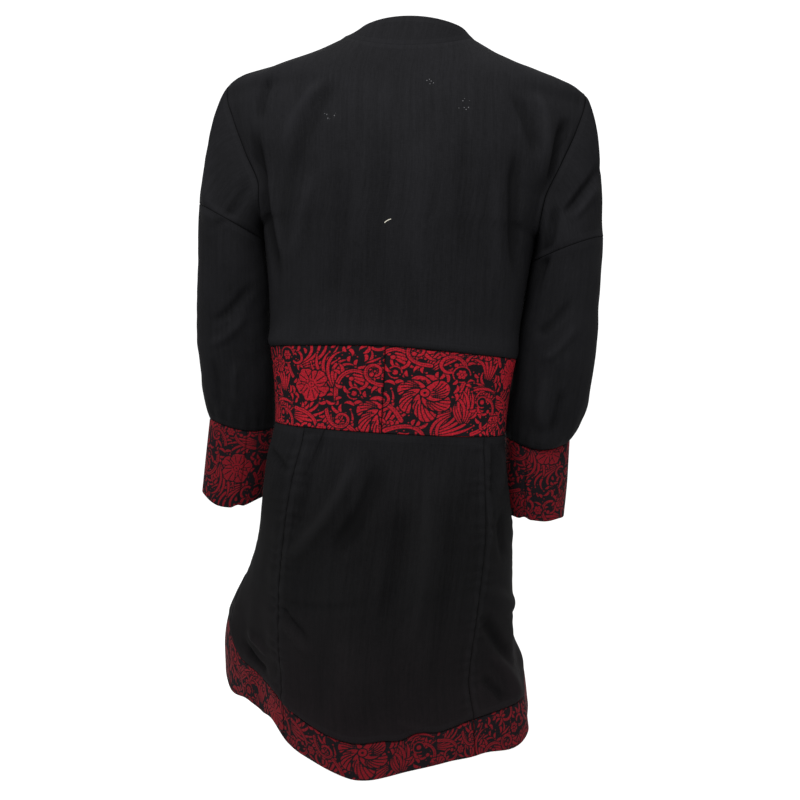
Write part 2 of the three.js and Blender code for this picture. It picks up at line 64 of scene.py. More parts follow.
# ---- sizes of the cut: those of the part's source, hung a few millimetres fuller in places ----
WALL = 1.8
BAND_WALL = 2.4
SEAM = -0.12  # at a sewn seam the edges press this far into each other, so that no light shows through
CLOTH_STEP = 3.0  # how far apart the points lie on black cloth, and on brocade
BROCADE_STEP = 1.0
NECK_HALF_WIDTH = 80
NECK_SIDE = (-2, 12)  # y and z of the neck end of the shoulder seam
NAPE = (58, -21)  # y and z of the centre back of the neck
FRONT_NECK = (-66, -82)
NECK_CURVE = 1.3  # how squarely the neck line drops at its middle
SHOULDER_X = 215
SHOULDER_Y = -5
SHOULDER_Z_LEFT = -51
SHOULDER_Z_RIGHT = -62
SHOULDER_WAY_OUT = (48.0, 0.0, 139.0)  # the way that the shoulder seam faces
NECK_SHARE = 0.4  # share of the top edge, from its middle, that the neck takes
WAIST_Z = -375
WAIST_FOOT = -477
HEM_TOP = -826
HEM_Z = -873
CUFF_Z = -485
CUFF_HEIGHT = 105
FULLNESS = 0.05  # how much fuller than an oval the coat is between its front, back and sides
UNDERARM_UP = 3 / 9  # share of the bodice's height below the armhole
SIDE_TURN_CURVE = 2.5  # how late the sides of a bodice turn in
CROWN_BACK = 8
CROWN_UP = 1
CROWN_AT = (0.93, 0.07)  # where up a bodice it is fullest below the shoulders, and how far that spreads
SHOULDER_RISE = 7  # the shoulders are a little fuller near their ends
SHOULDER_RISE_AT = (0.84, 0.34)
SHOULDER_RISE_FROM = (0.83, 0.96)


def table(columns, *rows):
    """Rows of numbers as one array for each named column."""
    return dict(zip(columns.split(), np.array(rows, float).T))


BACK_SECTIONS = table(
    "z y half edge_z turn_left turn_right",
    (-375, 88, 157, -382, 90, 90),
    (-330, 91, 160, -334, 90, 90),
    (-280, 97, 165, -283, 90, 90),
    (-235, 101, 171, -235, 90, 90),
    (-216, 102, 178, -223, 68, 72),
    (-182, 102, 190, -192, 58, 64),
    (-141, 99, 211, -150, 58, 62),
    (-99, 90, 230, -109, 59, 61),
    (-58, 75, 239, -77, 61, 61),
    (-21, 58, 219, -57, 90, 90),
)
FRONT_SECTIONS = table(
    "z y half edge_z turn_left turn_right",
    (-385, -100, 157, -382, 90, 90),
    (-335, -104, 160, -334, 90, 90),
    (-283, -109, 165, -283, 90, 90),
    (-235, -112, 171, -235, 90, 90),
    (-222, -111, 177, -223, 72, 72),
    (-196, -108, 189, -192, 62, 63),
    (-166, -102, 209, -150, 61, 62),
    (-136, -93, 228, -109, 61, 61),
    (-108, -80, 238, -77, 62, 62),
    (-82, -66, 219, -57, 90, 90),
)
RINGS = table(
    "z lift_left lift_right lift_front left right back front",
    (-375, -7, -7, -10, 157, 157, 88, 100),
    (-428, -3, -3, -5, 150, 151, 86, 97),
    (-477, 0, 0, 0, 147, 149, 89, 99),
    (-540, 6, 3, 9, 157, 156, 103, 109),
    (-610, 13, 6, 20, 160, 166, 116, 119),
    (-700, 23, 10, 36, 172, 172, 127, 130),
    (-770, 30, 12, 48, 183, 177, 132, 138),
    (-826, 35, 14, 57, 185, 194, 131, 143),
    (-873, 38, 14, 62, 186, 203, 126, 146),
)
LIFT_ROUNDING = 0.2
# Seams down the skirt: angle from the centre back at the waist, the middle and the hem.
SKIRT_SEAMS = {
    "centre": (0, 0, 0),
    "back_left": (38, 41, 34),
    "back_right": (-51, -48, -46),
    "side_left": (90, 92, 92),
    "side_right": (-90, -92, -92),
    "front_left": (180, 180, 180),
    "front_right": (-180, -180, -180),
}
SKIRT_FOLDS = table(
    "waist hem spread start full out",
    (96, 121, 42, -640, -845, 56),
    (52, 52, 42, -560, -850, -32),
    (-56, -48, 44, -560, -850, -28),
    (12, 3, 20, -560, -840, 9),
    (-14, -13, 17, -500, -800, -8),
    (26, 46, 20, -470, -620, 4),
    (-120, -124, 30, -600, -830, 22),
    (-150, -156, 18, -560, -820, -8),
    (150, 160, 18, -560, -820, -8),
)
BACK_FOLDS = table(
    "side upper lower top end spread out",
    (1, 0.42, 0.86, -30, -150, 0.16, 3),
    (1, 0.2, 0.66, -40, -230, 0.14, -3),
    (-1, 0.5, 0.72, -50, -190, 0.16, 3),
    (-1, 0.9, 0.8, -120, -330, 0.2, -4),
)


def sleeve_shape(side, slant, *rings):
    """The rings round a sleeve from its cross seam down; its cuff has the last three."""
    columns = "z x y across deep"
    return {
        "side": side,
        "slant": slant,
        "rings": table(columns, *rings[:-2]),
        "cuff": table(columns, *rings[-3:]),
    }


SLEEVES = {
    "left": sleeve_shape(
        1,
        21,
        (-226, 214, 0, 43, 57),
        (-300, 214, -10, 47, 54),
        (-380, 214, -27, 51, 53),
        (-430, 211, -40, 52, 51),
        (-465, 210, -50, 49, 46),
        (-485, 209, -55, 46, 41),
        (-535, 213, -59, 47, 42),
        (-590, 220, -63, 45, 42),
    ),
    "right": sleeve_shape(
        -1,
        18,
        (-243, 212, -14, 44, 57),
        (-300, 210, -22, 48, 54),
        (-380, 208, -34, 53, 53),
        (-430, 204, -41, 53, 51),
        (-465, 199, -50, 49, 46),
        (-485, 195, -55, 43, 41),
        (-535, 196, -59, 43, 42),
        (-590, 197, -63, 41, 42),
    ),
}
SLEEVE_CAP = {"shoulder_out": 22, "shoulder_up": -24, "underarm_out": 1, "underarm_up": 6}
SLEEVE_FACET = 1 / 80
NECK_BAND = {
    "back_height": 40,
    "side_height": 7,
    "front_height": 13,
    "back_lean": 14,
    "side_lean": 12,
    "front_lean": 6,
    "shift": -6,
    "side_soften": 3,  # the peak at each shoulder seam is rounded off by this much
    "side_spread": 0.35,
    "curve": 1.6,
    "centre_y": 5,
}


# ---- small helpers ----
def mix(a, b, share):
    return a + (b - a) * share


def ease(value, a, b):
    """0 before a, 1 past b, and smooth between."""
    t = np.clip((value - a) / (b - a), 0, 1)
    return t * t * (3 - 2 * t)


def bump(far, spread):
    """A soft bump: 1 in the middle, 0 once `far` has reached `spread`."""
    return np.where(np.abs(far) < spread, 0.5 + 0.5 * np.cos(np.pi * far / spread), 0)


def swell(distance, reach):
    """Nothing at a seam, 1 at `reach` from it, and dying away beyond."""
    return distance / reach * np.exp(1 - distance / reach)


def unit(vectors):
    return vectors / np.linalg.norm(vectors, axis=-1, keepdims=True)


def xyz(*parts):
    return np.stack(parts, axis=-1)


def between(keys, values, at):
    """Values at places between rows, on a smooth curve through the rows that never overshoots."""
    if keys[-1] < keys[0]:
        keys, at = -keys, -at
    slope = (np.diff(values.T) / np.diff(keys)).T
    before, after = slope[:-1], slope[1:]
    agree = before * after > 0
    middle = np.where(agree, 2 * before * after / np.where(agree, before + after, 1), 0)
    tangent = np.concatenate([slope[:1], middle, slope[-1:]])
    i = np.clip(np.searchsorted(keys, at, side="right") - 1, 0, len(keys) - 2)
    length = keys[i + 1] - keys[i]
    t = (at - keys[i]) / length
    pick = (lambda a, k: a[k]) if values.ndim == 1 else (lambda a, k: a[k, np.arange(len(at))])
    return (
        pick(values, i) * (1 + 2 * t) * (1 - t) ** 2
        + pick(tangent, i) * length * t * (1 - t) ** 2
        + pick(values, i + 1) * t * t * (3 - 2 * t)
        + pick(tangent, i + 1) * length * t * t * (t - 1)
    )


def row_at(rows, z):
    return {name: between(rows["z"], rows[name], z) for name in rows}


def plan(angle):
    """Plan outline of the coat at an angle from the centre back, for half widths of 1."""
    full = 1 + FULLNESS * np.sin(2 * angle) ** 2
    return np.sin(angle) * full, np.cos(angle) * full


# ---- the form ----
def top_edge(neck, across):
    """The top edge of a panel as if on the left, from the centre of the neck to the shoulder's end."""
    x = np.abs(across)
    a = np.clip(x / NECK_SHARE, 0, 1) * np.pi / 2
    t = np.clip((x - NECK_SHARE) / (1 - NECK_SHARE), 0, 1)
    drop = np.abs(np.cos(a))
    y, z = NECK_SIDE
    neck_line = xyz(NECK_HALF_WIDTH * np.sin(a), mix(y, neck[0], drop), mix(z, neck[1], drop**NECK_CURVE))
    end_z = np.where(across < 0, SHOULDER_Z_RIGHT, SHOULDER_Z_LEFT)
    shoulder_line = xyz(mix(NECK_HALF_WIDTH, SHOULDER_X, t), mix(y, SHOULDER_Y, t), mix(z, end_z, t))
    return np.where((x < NECK_SHARE)[..., None], neck_line, shoulder_line)


def skirt_at(degrees, z):
    """The waist band and skirt at an angle round the body and a height, as measured at the centre back."""
    ring = row_at(RINGS, z)
    angle = np.radians(degrees)
    x, y = plan(angle)
    down = np.clip((z - WAIST_Z) / (HEM_Z - WAIST_Z), 0, 1)
    out = sum(
        depth * bump(degrees - mix(waist, hem, down), spread) * ease(z, start, full)
        for waist, hem, spread, start, full, depth in zip(*SKIRT_FOLDS.values())
    )
    soft = lambda s: np.hypot(s, LIFT_ROUNDING) - LIFT_ROUNDING
    ahead = np.minimum(np.cos(angle), 0) ** 2
    side = np.where(x > 0, ring["lift_left"], ring["lift_right"])
    lift = np.where(ahead > 0, mix(side, ring["lift_front"], ahead), side * soft(x) / soft(1))
    return xyz(
        x * np.where(x > 0, ring["left"], ring["right"]) + out * np.sin(angle),
        y * np.where(y > 0, ring["back"], ring["front"]) + out * np.cos(angle),
        z + lift,
    )


def bodice_at(neck, across, up):
    """The back or front bodice, as its neck point tells, at a place across (-1 right edge, 1 left edge) and
    up (0 waist, 1 top edge)."""
    toward = math.copysign(1, neck[0])
    sections, folds = (BACK_SECTIONS, BACK_FOLDS) if toward > 0 else (FRONT_SECTIONS, {})
    share = np.abs(across)
    rows = []
    for z, y, half, edge_z, turn_left, turn_right in zip(*sections.values()):
        short = 90 - np.where(across < 0, turn_right, turn_left)
        plan_x, plan_y = plan(np.radians(90 * share - short * share**SIDE_TURN_CURVE))
        rows.append(xyz(half * plan_x, y * plan_y, mix(edge_z, z, (1 + np.cos(np.pi * share)) / 2)))
    degrees = 90 * share if toward > 0 else 180 - 90 * share
    rows[0] = skirt_at(degrees, np.full_like(share, WAIST_Z))
    rows[-1] = top_edge(neck, across)
    rows = np.array(rows)
    keys = np.arange(len(rows)) / (len(rows) - 1)
    x, y, z = (between(keys, rows[:, :, k], up) for k in range(3))
    crown = bump(up - CROWN_AT[0], CROWN_AT[1]) * ease(share, 0.2, 0.5)
    y = y + toward * CROWN_BACK * crown
    for side, upper, lower, top, end, spread, out in zip(*folds.values()):
        along = np.clip((top - z) / (top - end), 0, 1)
        far = across * side - mix(upper, lower, along)
        fade = np.sin(np.pi * along) * ease(1 - share, 0, 0.15)
        y = y + toward * out * bump(far, spread) * fade
    rise = SHOULDER_RISE * bump(share - SHOULDER_RISE_AT[0], SHOULDER_RISE_AT[1])
    rise = rise * ease(up, *SHOULDER_RISE_FROM)
    return xyz(x * np.sign(across), y, z + CROWN_UP * crown + rise)


def top_way_out(neck, across):
    """The way out at the neck and shoulder seams, shared by the panels that meet there."""
    x = np.abs(across)
    toward = math.copysign(1, neck[0])
    a = np.minimum(x / NECK_SHARE, 1) * np.pi / 2
    level = xyz(0.25 * np.sin(a), toward * 0.9 * np.cos(a), 0.55 + 0.4 * np.sin(a))
    share = ease(x, NECK_SHARE * 0.6, NECK_SHARE * 1.1)[:, None]
    out = unit(mix(unit(level), unit(np.array(SHOULDER_WAY_OUT)), share))
    out[:, 0] *= np.where(across < 0, -1, 1)
    return out


def ring_at(side, rings, z, around):
    """One turn round a sleeve: 0 outside, 0.25 at the back, 0.5 under the arm, 0.75 in front."""
    ring = row_at(rings, z)
    a = around * TURN
    x = side * (ring["x"] + ring["across"] * np.cos(a))
    return xyz(x, ring["y"] + ring["deep"] * np.sin(a), z)


def lower_sleeve_at(sleeve, around, down):
    rings = sleeve["rings"]
    points = ring_at(sleeve["side"], rings, mix(rings["z"][0], CUFF_Z, down), around)
    points[:, 2] += sleeve["slant"] * np.cos(around * TURN) * (1 - down) ** 1.5
    return points


STEP = 1e-3


def at_back_or_front(behind, surface, *places):
    """A surface that both panels have, read on the back one where `behind` says so."""
    return np.where(behind[:, None], surface(NAPE, *places), surface(FRONT_NECK, *places))


def armhole(side, around):
    """The armhole that a sleeve is sewn to, in the same turn, and the way out of the bodice there."""
    turn = np.mod(around, 1)
    behind = turn <= 0.5
    up = mix(1, UNDERARM_UP, np.where(behind, turn * 2, 2 - turn * 2))
    edge = np.full_like(up, side)

    def at(across, height):
        return at_back_or_front(behind, bodice_at, across, np.clip(height, 0, 1))

    along_x = (at(edge, up) - at(edge * (1 - STEP), up)) * side
    along_z = at(edge, up + STEP) - at(edge, up - STEP)
    out = unit(np.cross(along_x, along_z) * np.where(behind, -1, 1)[:, None])
    return at(edge, up), np.where((up > 1 - STEP)[:, None], top_way_out(NAPE, edge), out)


def upper_sleeve_at(sleeve, around, down):
    side = sleeve["side"]
    start, out = armhole(side, around)
    along = armhole(side, around + SLEEVE_FACET)[0] - armhole(side, around - SLEEVE_FACET)[0]
    start = start + unit(np.cross(along, out)) * side * SEAM
    end = lower_sleeve_at(sleeve, around, np.zeros_like(around))
    end[:, 2] += SEAM
    top = (1 + np.cos(around * TURN)) / 2
    bend = start.copy()
    bend[:, 0] += side * mix(SLEEVE_CAP["underarm_out"], SLEEVE_CAP["shoulder_out"], top)
    bend[:, 2] += mix(SLEEVE_CAP["underarm_up"], SLEEVE_CAP["shoulder_up"], top)
    t = down[:, None]
    return start * (1 - t) ** 2 + bend * 2 * t * (1 - t) + end * t * t


def neck_band_at(round_share, up):
    """Round the neck from the left of the centre front to the right (0 to 1), and up (0 to 1)."""
    turn = mix(-2, 2, round_share)
    behind = np.abs(turn) < 1
    share = np.where(behind, np.abs(turn), 2 - np.abs(turn))
    side = np.where(turn > 0, -1, 1)
    across = side * NECK_SHARE * np.maximum(share, 1e-9)
    foot = at_back_or_front(behind, top_edge, across)
    out = at_back_or_front(behind, top_way_out, across)
    foot[:, 0] *= side
    foot = foot + unit(np.array([0.0, 0.0, 1.0]) - out * out[:, 2:]) * SEAM
    middle = np.abs(np.cos(turn * np.pi / 2)) ** NECK_BAND["curve"]

    def measure(what):
        there = np.where(behind, NECK_BAND["back_" + what], NECK_BAND["front_" + what])
        return mix(NECK_BAND["side_" + what], there, middle)

    inward = unit(xyz(-foot[:, 0], NECK_BAND["centre_y"] - foot[:, 1], 0 * up))
    foot = foot + inward * (measure("lean") * up)[:, None]
    soften = NECK_BAND["side_soften"] * bump(np.abs(turn) - 1, NECK_BAND["side_spread"])
    foot[:, 0] += NECK_BAND["shift"] * up
    foot[:, 2] += (measure("height") - soften) * up
    return foot, out


def seam_angle(seam, z):
    """Angle of a skirt seam at a height: from the waist to the middle of the skirt, then on to the hem."""
    down = np.clip((z - WAIST_FOOT) / (HEM_Z - WAIST_FOOT), 0, 1)
    waist, middle, hem = seam
    upper = mix(waist, middle, ease(down, 0, 0.5))
    return np.where(down < 0.5, upper, mix(middle, hem, ease(down, 0.5, 1)))


# ---- the woven figure ----
# A scrolling pattern of our own: stems, fronds, flowers and small dots, red on black. It is worked out once
# over one repeat, in millimetres of cloth, and every brocade piece reads it from its own start.
PATTERN_SIZE = 0.87  # size of the pattern on the cloth against the chart
REPEAT = (210.0, 156.0)
CHART_STEP = 0.6
FAR = -9.0  # value of the chart well away from any red
STROKE_REACH = 7  # how far round a stroke its depth is worked out
LINE = 0.8  # half width of the black lines inside a flower
STEM_LINE = 0.522  # and of the one down a stem
PATH_STEP = 0.8  # how far apart the points of a path lie
GAP = 1.3  # width of the black line round a form laid over others
LEAF = 1.9  # half width of a leaf
DOT = 0.95
TRIES = 1500  # places tried for sprigs, leaves and dots in the spaces left, and the room that each needs
SPRIG_ROOM = 4.6
LEAF_ROOM = 3.4
DOT_ROOM = 2.3


class Chart:
    """How deep inside the red each place of the repeat lies, in millimetres; black is negative."""

    def __init__(self):
        self.columns, self.rows = (round(side / CHART_STEP) for side in REPEAT)
        self.depth = np.full((self.rows, self.columns), FAR)

    def over(self, depth, gap=GAP):
        """Lays a form over what is there, with a black line of this width round it."""
        self.depth = np.maximum(np.minimum(self.depth, -depth - gap), depth)

    def lay(self, path, radius, gap=GAP):
        self.over(self.stroke(path, radius), gap)

    def cut(self, path, radius):
        """Leaves a stroke black."""
        self.depth = np.minimum(self.depth, -self.stroke(path, radius))

    def stroke(self, path, radius):
        """A stroke along a path, with its half width at each point."""
        path = np.atleast_2d(np.asarray(path, float))
        radius = np.broadcast_to(np.asarray(radius, float), len(path))
        reach = radius.max() + STROKE_REACH
        first = np.floor((path.min(0) - reach) / CHART_STEP).astype(int)
        last = np.ceil((path.max(0) + reach) / CHART_STEP).astype(int)
        across, up = np.arange(first[0], last[0]), np.arange(first[1], last[1])
        x, y = np.meshgrid(across * CHART_STEP, up * CHART_STEP)
        best = np.full(x.shape, FAR)
        for (px, py), wide in zip(path, radius):
            best = np.maximum(best, wide - np.hypot(x - px, y - py))
        found = np.full(self.depth.shape, FAR)
        np.maximum.at(found, np.ix_(up % self.rows, across % self.columns), best)
        return found

    def at(self, x, y):
        """The depth at places in millimetres, repeating for ever."""
        column, row = x / CHART_STEP, y / CHART_STEP
        left, below = np.floor(column).astype(int), np.floor(row).astype(int)
        s, t = column - left, row - below
        found = 0
        for rise, share_up in ((0, 1 - t), (1, t)):
            for step, share in ((0, 1 - s), (1, s)):
                corner = self.depth[(below + rise) % self.rows, (left + step) % self.columns]
                found = found + share_up * share * corner
        return found


def bent_path(x, y, heading, length, curl, tighten=1.0):
    """A path that sets off at a heading and turns by `curl` degrees, faster toward its end; its shares."""
    points = max(int(length / PATH_STEP), 6)
    share = (np.arange(points) + 0.5) / points
    turn = np.radians(heading + curl * share**tighten)
    steps = xyz(np.cos(turn), np.sin(turn)) * length / points
    return np.concatenate([[(x, y)], np.cumsum(steps, 0) + (x, y)]), np.linspace(0, 1, points + 1)


def veins(chart, x, y, headings, lengths, curl, ends):
    """Black lines combed from the middle of a flower, each cut from one share of its length to another."""
    for heading, length, (start, end) in zip(headings, lengths, ends):
        path, _ = bent_path(x, y, heading, length, curl)
        chart.cut(path[int(len(path) * start) : int(len(path) * end)], LINE)


def round_about(x, y, radius, degrees):
    a = np.radians(degrees)
    return xyz(x + radius * np.cos(a), y + radius * np.sin(a))


def blade(chart, x, y, heading, length, width, curl):
    """One curved blade, thickest before its middle and pointed."""
    path, share = bent_path(x, y, heading, length, curl, 1.3)
    chart.lay(path, width * (0.45 + 0.55 * ease(share, 0, 0.35)) * (1 - 0.85 * ease(share, 0.45, 1.05)))


def frond(x, y, heading, length, strands, curl, spread, hook):
    """Long strands combed side by side from one root, fanning out, each curling over at its tip."""
    made = Chart()
    for k in sorted(range(strands), key=lambda k: -abs(k - strands / 3)):
        off = k - (strands - 1) / 2
        root = round_about(x, y, off * 2.2, heading + 90)
        far = length * (1 - 0.05 * abs(off) ** 1.5 - 0.07 * (k % 2))
        path, share = bent_path(*root, heading + off * spread, far, curl + off * hook, 1.7)
        body = 1.7 * (0.4 + 0.6 * ease(share, 0, 0.4)) * (1 - 0.72 * ease(share, 0.6, 1.05))
        made.lay(path, body)
        made.lay(path[-1], 1.3, 0.9)
    return made.depth


def bloom(x, y, radius, petals, turn, swirl):
    """A large flower: broad petals laid one over the next, combed with black lines, round a small eye."""
    made = Chart()
    k = np.arange(-3, 4)
    for i in range(petals):
        way = turn + 360 * i / petals
        far = radius * (0.86 - 0.07 * (i % 2) - 0.3 * math.cos(math.radians(way - turn - 20)))
        path, share = bent_path(x, y, way, far * 0.8, swirl)
        made.lay(path, 2.7 * radius / petals * ease(share, -0.35, 0.75), 1.9)
        ends = xyz(0.3 + 0.1 * (k % 2), 0.92 + 0.08 * (k % 2))
        veins(made, x, y, way + 10 * k, far * (1.24 - 0.015 * k * k), swirl, ends)
    made.lay((x, y), radius * 0.17, 1.6)
    made.cut((x, y), radius * 0.06)
    return made.depth


def pansy(x, y, radius, turn):
    """A flower of ruffled overlapping petals, each with a few black lines, round a small eye."""
    made = Chart()
    rim = np.arange(0, 360, 24)
    spread = np.array((-40, -14, 14, 40))
    for way, broad in ((200, 0.5), (340, 0.5), (130, 0.48), (50, 0.48), (270, 0.5)):
        middle = round_about(x, y, radius * 0.5, way + turn)
        ruffle = radius * (broad - 0.2) * (1 + 0.13 * np.cos(np.arange(len(rim)) * TURN / 2.5))
        petal = round_about(*middle, ruffle, rim)
        made.lay(np.concatenate([petal, (petal + middle) / 2]), radius * 0.2, 1.2)
        veins(made, x, y, way + turn + spread, radius * (1.02 - abs(spread) / 170), 14, [(0.4, 0.94)] * 4)
    made.lay((x, y), radius * 0.17, 1.1)
    made.cut((x, y), radius * 0.05)
    return made.depth


def rosette(x, y, radius, petals, turn):
    """Small petals, each with a dark middle, round a bead."""
    made = Chart()
    for i in range(petals):
        petal = round_about(x, y, radius * 0.66, turn + 360 * i / petals)
        made.lay(petal, radius * 1.95 / petals, 0.7)
        made.cut(petal, 0.55)
    made.lay((x, y), radius * 0.22, 0.7)
    return made.depth


def scroll(chart, x, y, heading, length, curl, tighten, wide, leaves):
    """A stem that curls up at its end, with comma-shaped leaves along its outer side."""
    path, share = bent_path(x, y, heading, length, curl, tighten)
    turn = np.degrees(np.arctan2(*np.diff(path, axis=0).T[::-1]))
    side = -math.copysign(1, curl)
    for k in range(leaves):
        i = int((0.1 + 0.72 * k / max(leaves - 1, 1)) * (len(path) - 2))
        size = 17 + 4 * math.sin(2.3 * k)
        for spread, part in ((62, 0.75), (20, 1.0)):
            blade(chart, *path[i], turn[i] + side * spread, size * part, LEAF, side * 80)
        if k % 2:
            blade(chart, *path[i], turn[i] - side * 30, size * 0.6, 1.7, -side * 80)
    chart.lay(path, wide * (1 - 0.45 * share))
    if wide > 2:
        chart.cut(path[share < 0.6] + 0.2, STEM_LINE)
    chart.lay(path[-1], 2.6)


SCROLLS = (
    # x, y, heading, length, curl, tighten, wide, leaves
    (-4, 8, 20, 118, 400, 2.0, 2.7, 4),
    (36, 60, -12, 96, -390, 2.0, 2.5, 3),
    (104, 8, 24, 104, -410, 2.0, 2.6, 4),
    (122, 22, 120, 92, 400, 2.0, 2.5, 3),
    (92, 70, 96, 112, -400, 2.0, 2.6, 4),
    (186, 66, 70, 104, 400, 2.0, 2.6, 4),
    (150, 96, 178, 74, -400, 1.9, 2.3, 2),
    (32, 104, 120, 84, -400, 1.9, 2.4, 3),
    (176, 150, -80, 64, -390, 1.8, 2.2, 2),
    (80, 60, -80, 70, 390, 1.8, 2.2, 2),
)
FRONDS = (
    # x, y, heading, length, strands, curl, spread, hook
    (96, 10, 60, 58, 6, 70, 7, 26),
    (96, 10, 100, 50, 5, -50, -7, -26),
    (30, 66, 200, 56, 6, -90, 7, 22),
    (30, 66, 160, 46, 5, 70, -7, -22),
    (158, 8, 20, 66, 7, 70, 6, 22),
    (104, 112, -14, 60, 6, 70, 6, 24),
    (104, 112, 24, 52, 5, -60, -7, -24),
    (48, 118, 12, 60, 6, 80, 7, 24),
    (196, 24, 110, 60, 7, -60, 6, -24),
    (196, 24, 70, 48, 4, 60, 7, 24),
    (86, 92, 116, 56, 6, -90, 7, 22),
    (34, 52, -4, 52, 6, 70, 7, 24),
    (150, 94, 56, 54, 6, -70, 7, -24),
    (192, 108, 24, 58, 6, 80, 7, 22),
    (176, 36, 200, 46, 5, 60, 7, 22),
    (12, 84, 80, 44, 5, 60, 7, 22),
)
BLOOM = (146, 60, 30, 7, 40, 62)  # x, y, radius, petals, turn, swirl
PANSIES = (
    # x, y, radius, turn
    (60, 94, 23, -8),
    (34, 20, 14, 150),
    (4, 122, 13, 30),
)
ROSETTES = (
    # x, y, radius, petals, turn, ring
    (24, 134, 7, 6, 0, 11.5),
    (186, 88, 6.5, 6, 0, 10.5),
    (74, 36, 6.5, 6, 10, 0),
    (150, 128, 7.5, 7, 20, 0),
    (112, 84, 3.2, 1, 0, 7.5),
    (8, 52, 3.2, 1, 0, 7.5),
)


def figure():
    """The whole repeat: scrolling stems, fronds and flowers, with sprigs and dots in the spaces between."""
    chart = Chart()
    for row in FRONDS:
        chart.over(frond(*row))
    for row in SCROLLS:
        scroll(chart, *row)
    for x, y, radius, petals, turn, ring in ROSETTES:
        chart.cut((x, y), max(ring, radius) + 1.6)
        if ring:
            chart.lay(round_about(x, y, ring, np.arange(turn, turn + 300, 4)), 0.8, 0.8)
        chart.over(rosette(x, y, radius, petals, turn) if petals > 1 else chart.stroke((x, y), radius), 1.2)
    for row in PANSIES:
        chart.over(pansy(*row), 1.6)
    chart.over(bloom(*BLOOM), 1.6)
    draw = np.random.default_rng(7)
    for x, y, way in draw.uniform((0, 0, 0), (*REPEAT, 360), (TRIES, 3)):
        room = -chart.at(np.array(x), np.array(y))
        if room > SPRIG_ROOM:
            for turn in (-34, 34):
                blade(chart, x, y, way + turn, 13, 2.0, turn * 3)
        elif room > LEAF_ROOM:
            blade(chart, x, y, way, 8, LEAF, 90)
        elif room > DOT_ROOM:
            chart.lay((x, y), DOT, 0.9)
    return chart


# ---- folds, creases and ripples of the cloth ----
# Creases: start, middle and end of each, its half widths on the left and right as one goes along it, and how
# far it stands out (minus where it sinks in).
CREASE = "x0 z0 x1 z1 x2 z2 left right out"
BACK_CREASES = table(
    CREASE,
    (150, -60, 163, -90, 163, -122, 9, 11, -4.4),
    (86, -66, 117, -108, 137, -170, 12, 12, 4.2),
    (70, -62, 104, -122, 132, -226, 22, 11, -5.0),
    (92, -175, 107, -233, 126, -296, 14, 15, 4.4),
    (172, -120, 160, -205, 134, -322, 12, 11, -9.0),
    (148, -160, 144, -225, 124, -290, 10, 9, 3.4),
    (-124, -66, -149, -116, -162, -154, 13, 9, -5.0),
    (-150, -74, -170, -115, -168, -190, 11, 10, 4.6),
    (-138, -142, -140, -211, -152, -302, 10, 11, -7.0),
    (-118, -160, -120, -230, -130, -310, 12, 11, 3.4),
    (-194, -98, -187, -140, -181, -200, 10, 10, -8.0),
    (22, -95, 14, -210, 26, -335, 22, 20, -2.4),
    (-42, -120, -30, -225, -46, -345, 20, 24, 2.4),
    (66, -150, 60, -240, 72, -350, 18, 16, -2.6),
    (-84, -110, -80, -200, -92, -300, 18, 16, -2.4),
)
SKIRT_CREASES = table(
    CREASE,
    (26, -492, 52, -566, 110, -644, 14, 15, 8.1),
    (86, -515, 88, -560, 104, -606, 12, 12, -4.5),
    (0, -498, 16, -566, 56, -622, 20, 15, -6.9),
    (-60, -505, -58, -640, -38, -735, 17, 18, 4.8),
    (-28, -540, -28, -620, -14, -700, 16, 15, -4.2),
    (-92, -540, -86, -660, -70, -800, 18, 15, -3.2),
    (30, -690, 26, -750, 34, -815, 22, 20, 2.8),
    (112, -682, 62, -680, -20, -662, 8, 11, -1.6),
    (110, -688, 90, -703, 64, -723, 6, 7, -3.4),
    (106, -704, 84, -722, 62, -740, 7, 7, 3.2),
    (176, -762, 150, -780, 120, -781, 9, 9, -5.6),
    (168, -745, 146, -756, 122, -757, 9, 9, 4.5),
    (146, -508, 128, -519, 112, -531, 8, 8, -4.2),
    (-132, -652, -158, -680, -178, -706, 12, 12, 5.5),
    (-129, -682, -151, -726, -178, -770, 10, 10, -6.2),
    (-138, -733, -166, -772, -192, -815, 10, 9, 5.8),
    (-132, -762, -153, -789, -172, -808, 8, 7, -4.5),
    (-132, -482, -136, -517, -134, -550, 6, 6, -3.4),
    (-144, -488, -147, -520, -143, -552, 6, 6, 3.8),
    (-136, -552, -131, -580, -139, -606, 6, 6, 3.8),
    (-150, -560, -148, -596, -156, -630, 7, 7, -3.8),
    (-38, -798, -54, -812, -74, -808, 6, 7, 3.2),
    (68, -479, 77, -504, 90, -540, 8, 4, -3.2),
    (82, -479, 89, -504, 97, -530, 5, 6, 2.6),
)
FRONT_CREASES = table(
    CREASE,
    (96, -64, 122, -112, 136, -190, 11, 10, -3.2),
    (74, -80, 96, -150, 110, -240, 14, 12, 2.8),
    (150, -110, 146, -180, 128, -270, 9, 8, -4.2),
    (34, -150, 42, -250, 36, -345, 18, 16, -1.8),
    (-104, -70, -126, -125, -134, -205, 10, 11, -3.4),
    (-70, -95, -88, -170, -96, -265, 13, 14, 2.6),
    (-152, -120, -144, -190, -130, -280, 8, 9, -4.0),
    (-28, -180, -38, -260, -30, -350, 17, 18, 1.8),
)
SKIRT_FRONT_CREASES = table(
    CREASE,
    (52, -496, 78, -590, 112, -730, 15, 16, 4.6),
    (96, -500, 122, -600, 156, -770, 14, 13, -4.4),
    (22, -530, 34, -650, 26, -800, 20, 18, -2.8),
    (150, -640, 132, -690, 96, -740, 9, 10, -3.0),
    (-44, -500, -70, -610, -96, -780, 16, 15, -4.2),
    (-90, -520, -118, -640, -150, -800, 15, 15, 4.0),
    (-20, -560, -26, -680, -44, -805, 18, 20, 2.4),
    (-160, -620, -136, -670, -110, -690, 9, 9, -2.8),
)
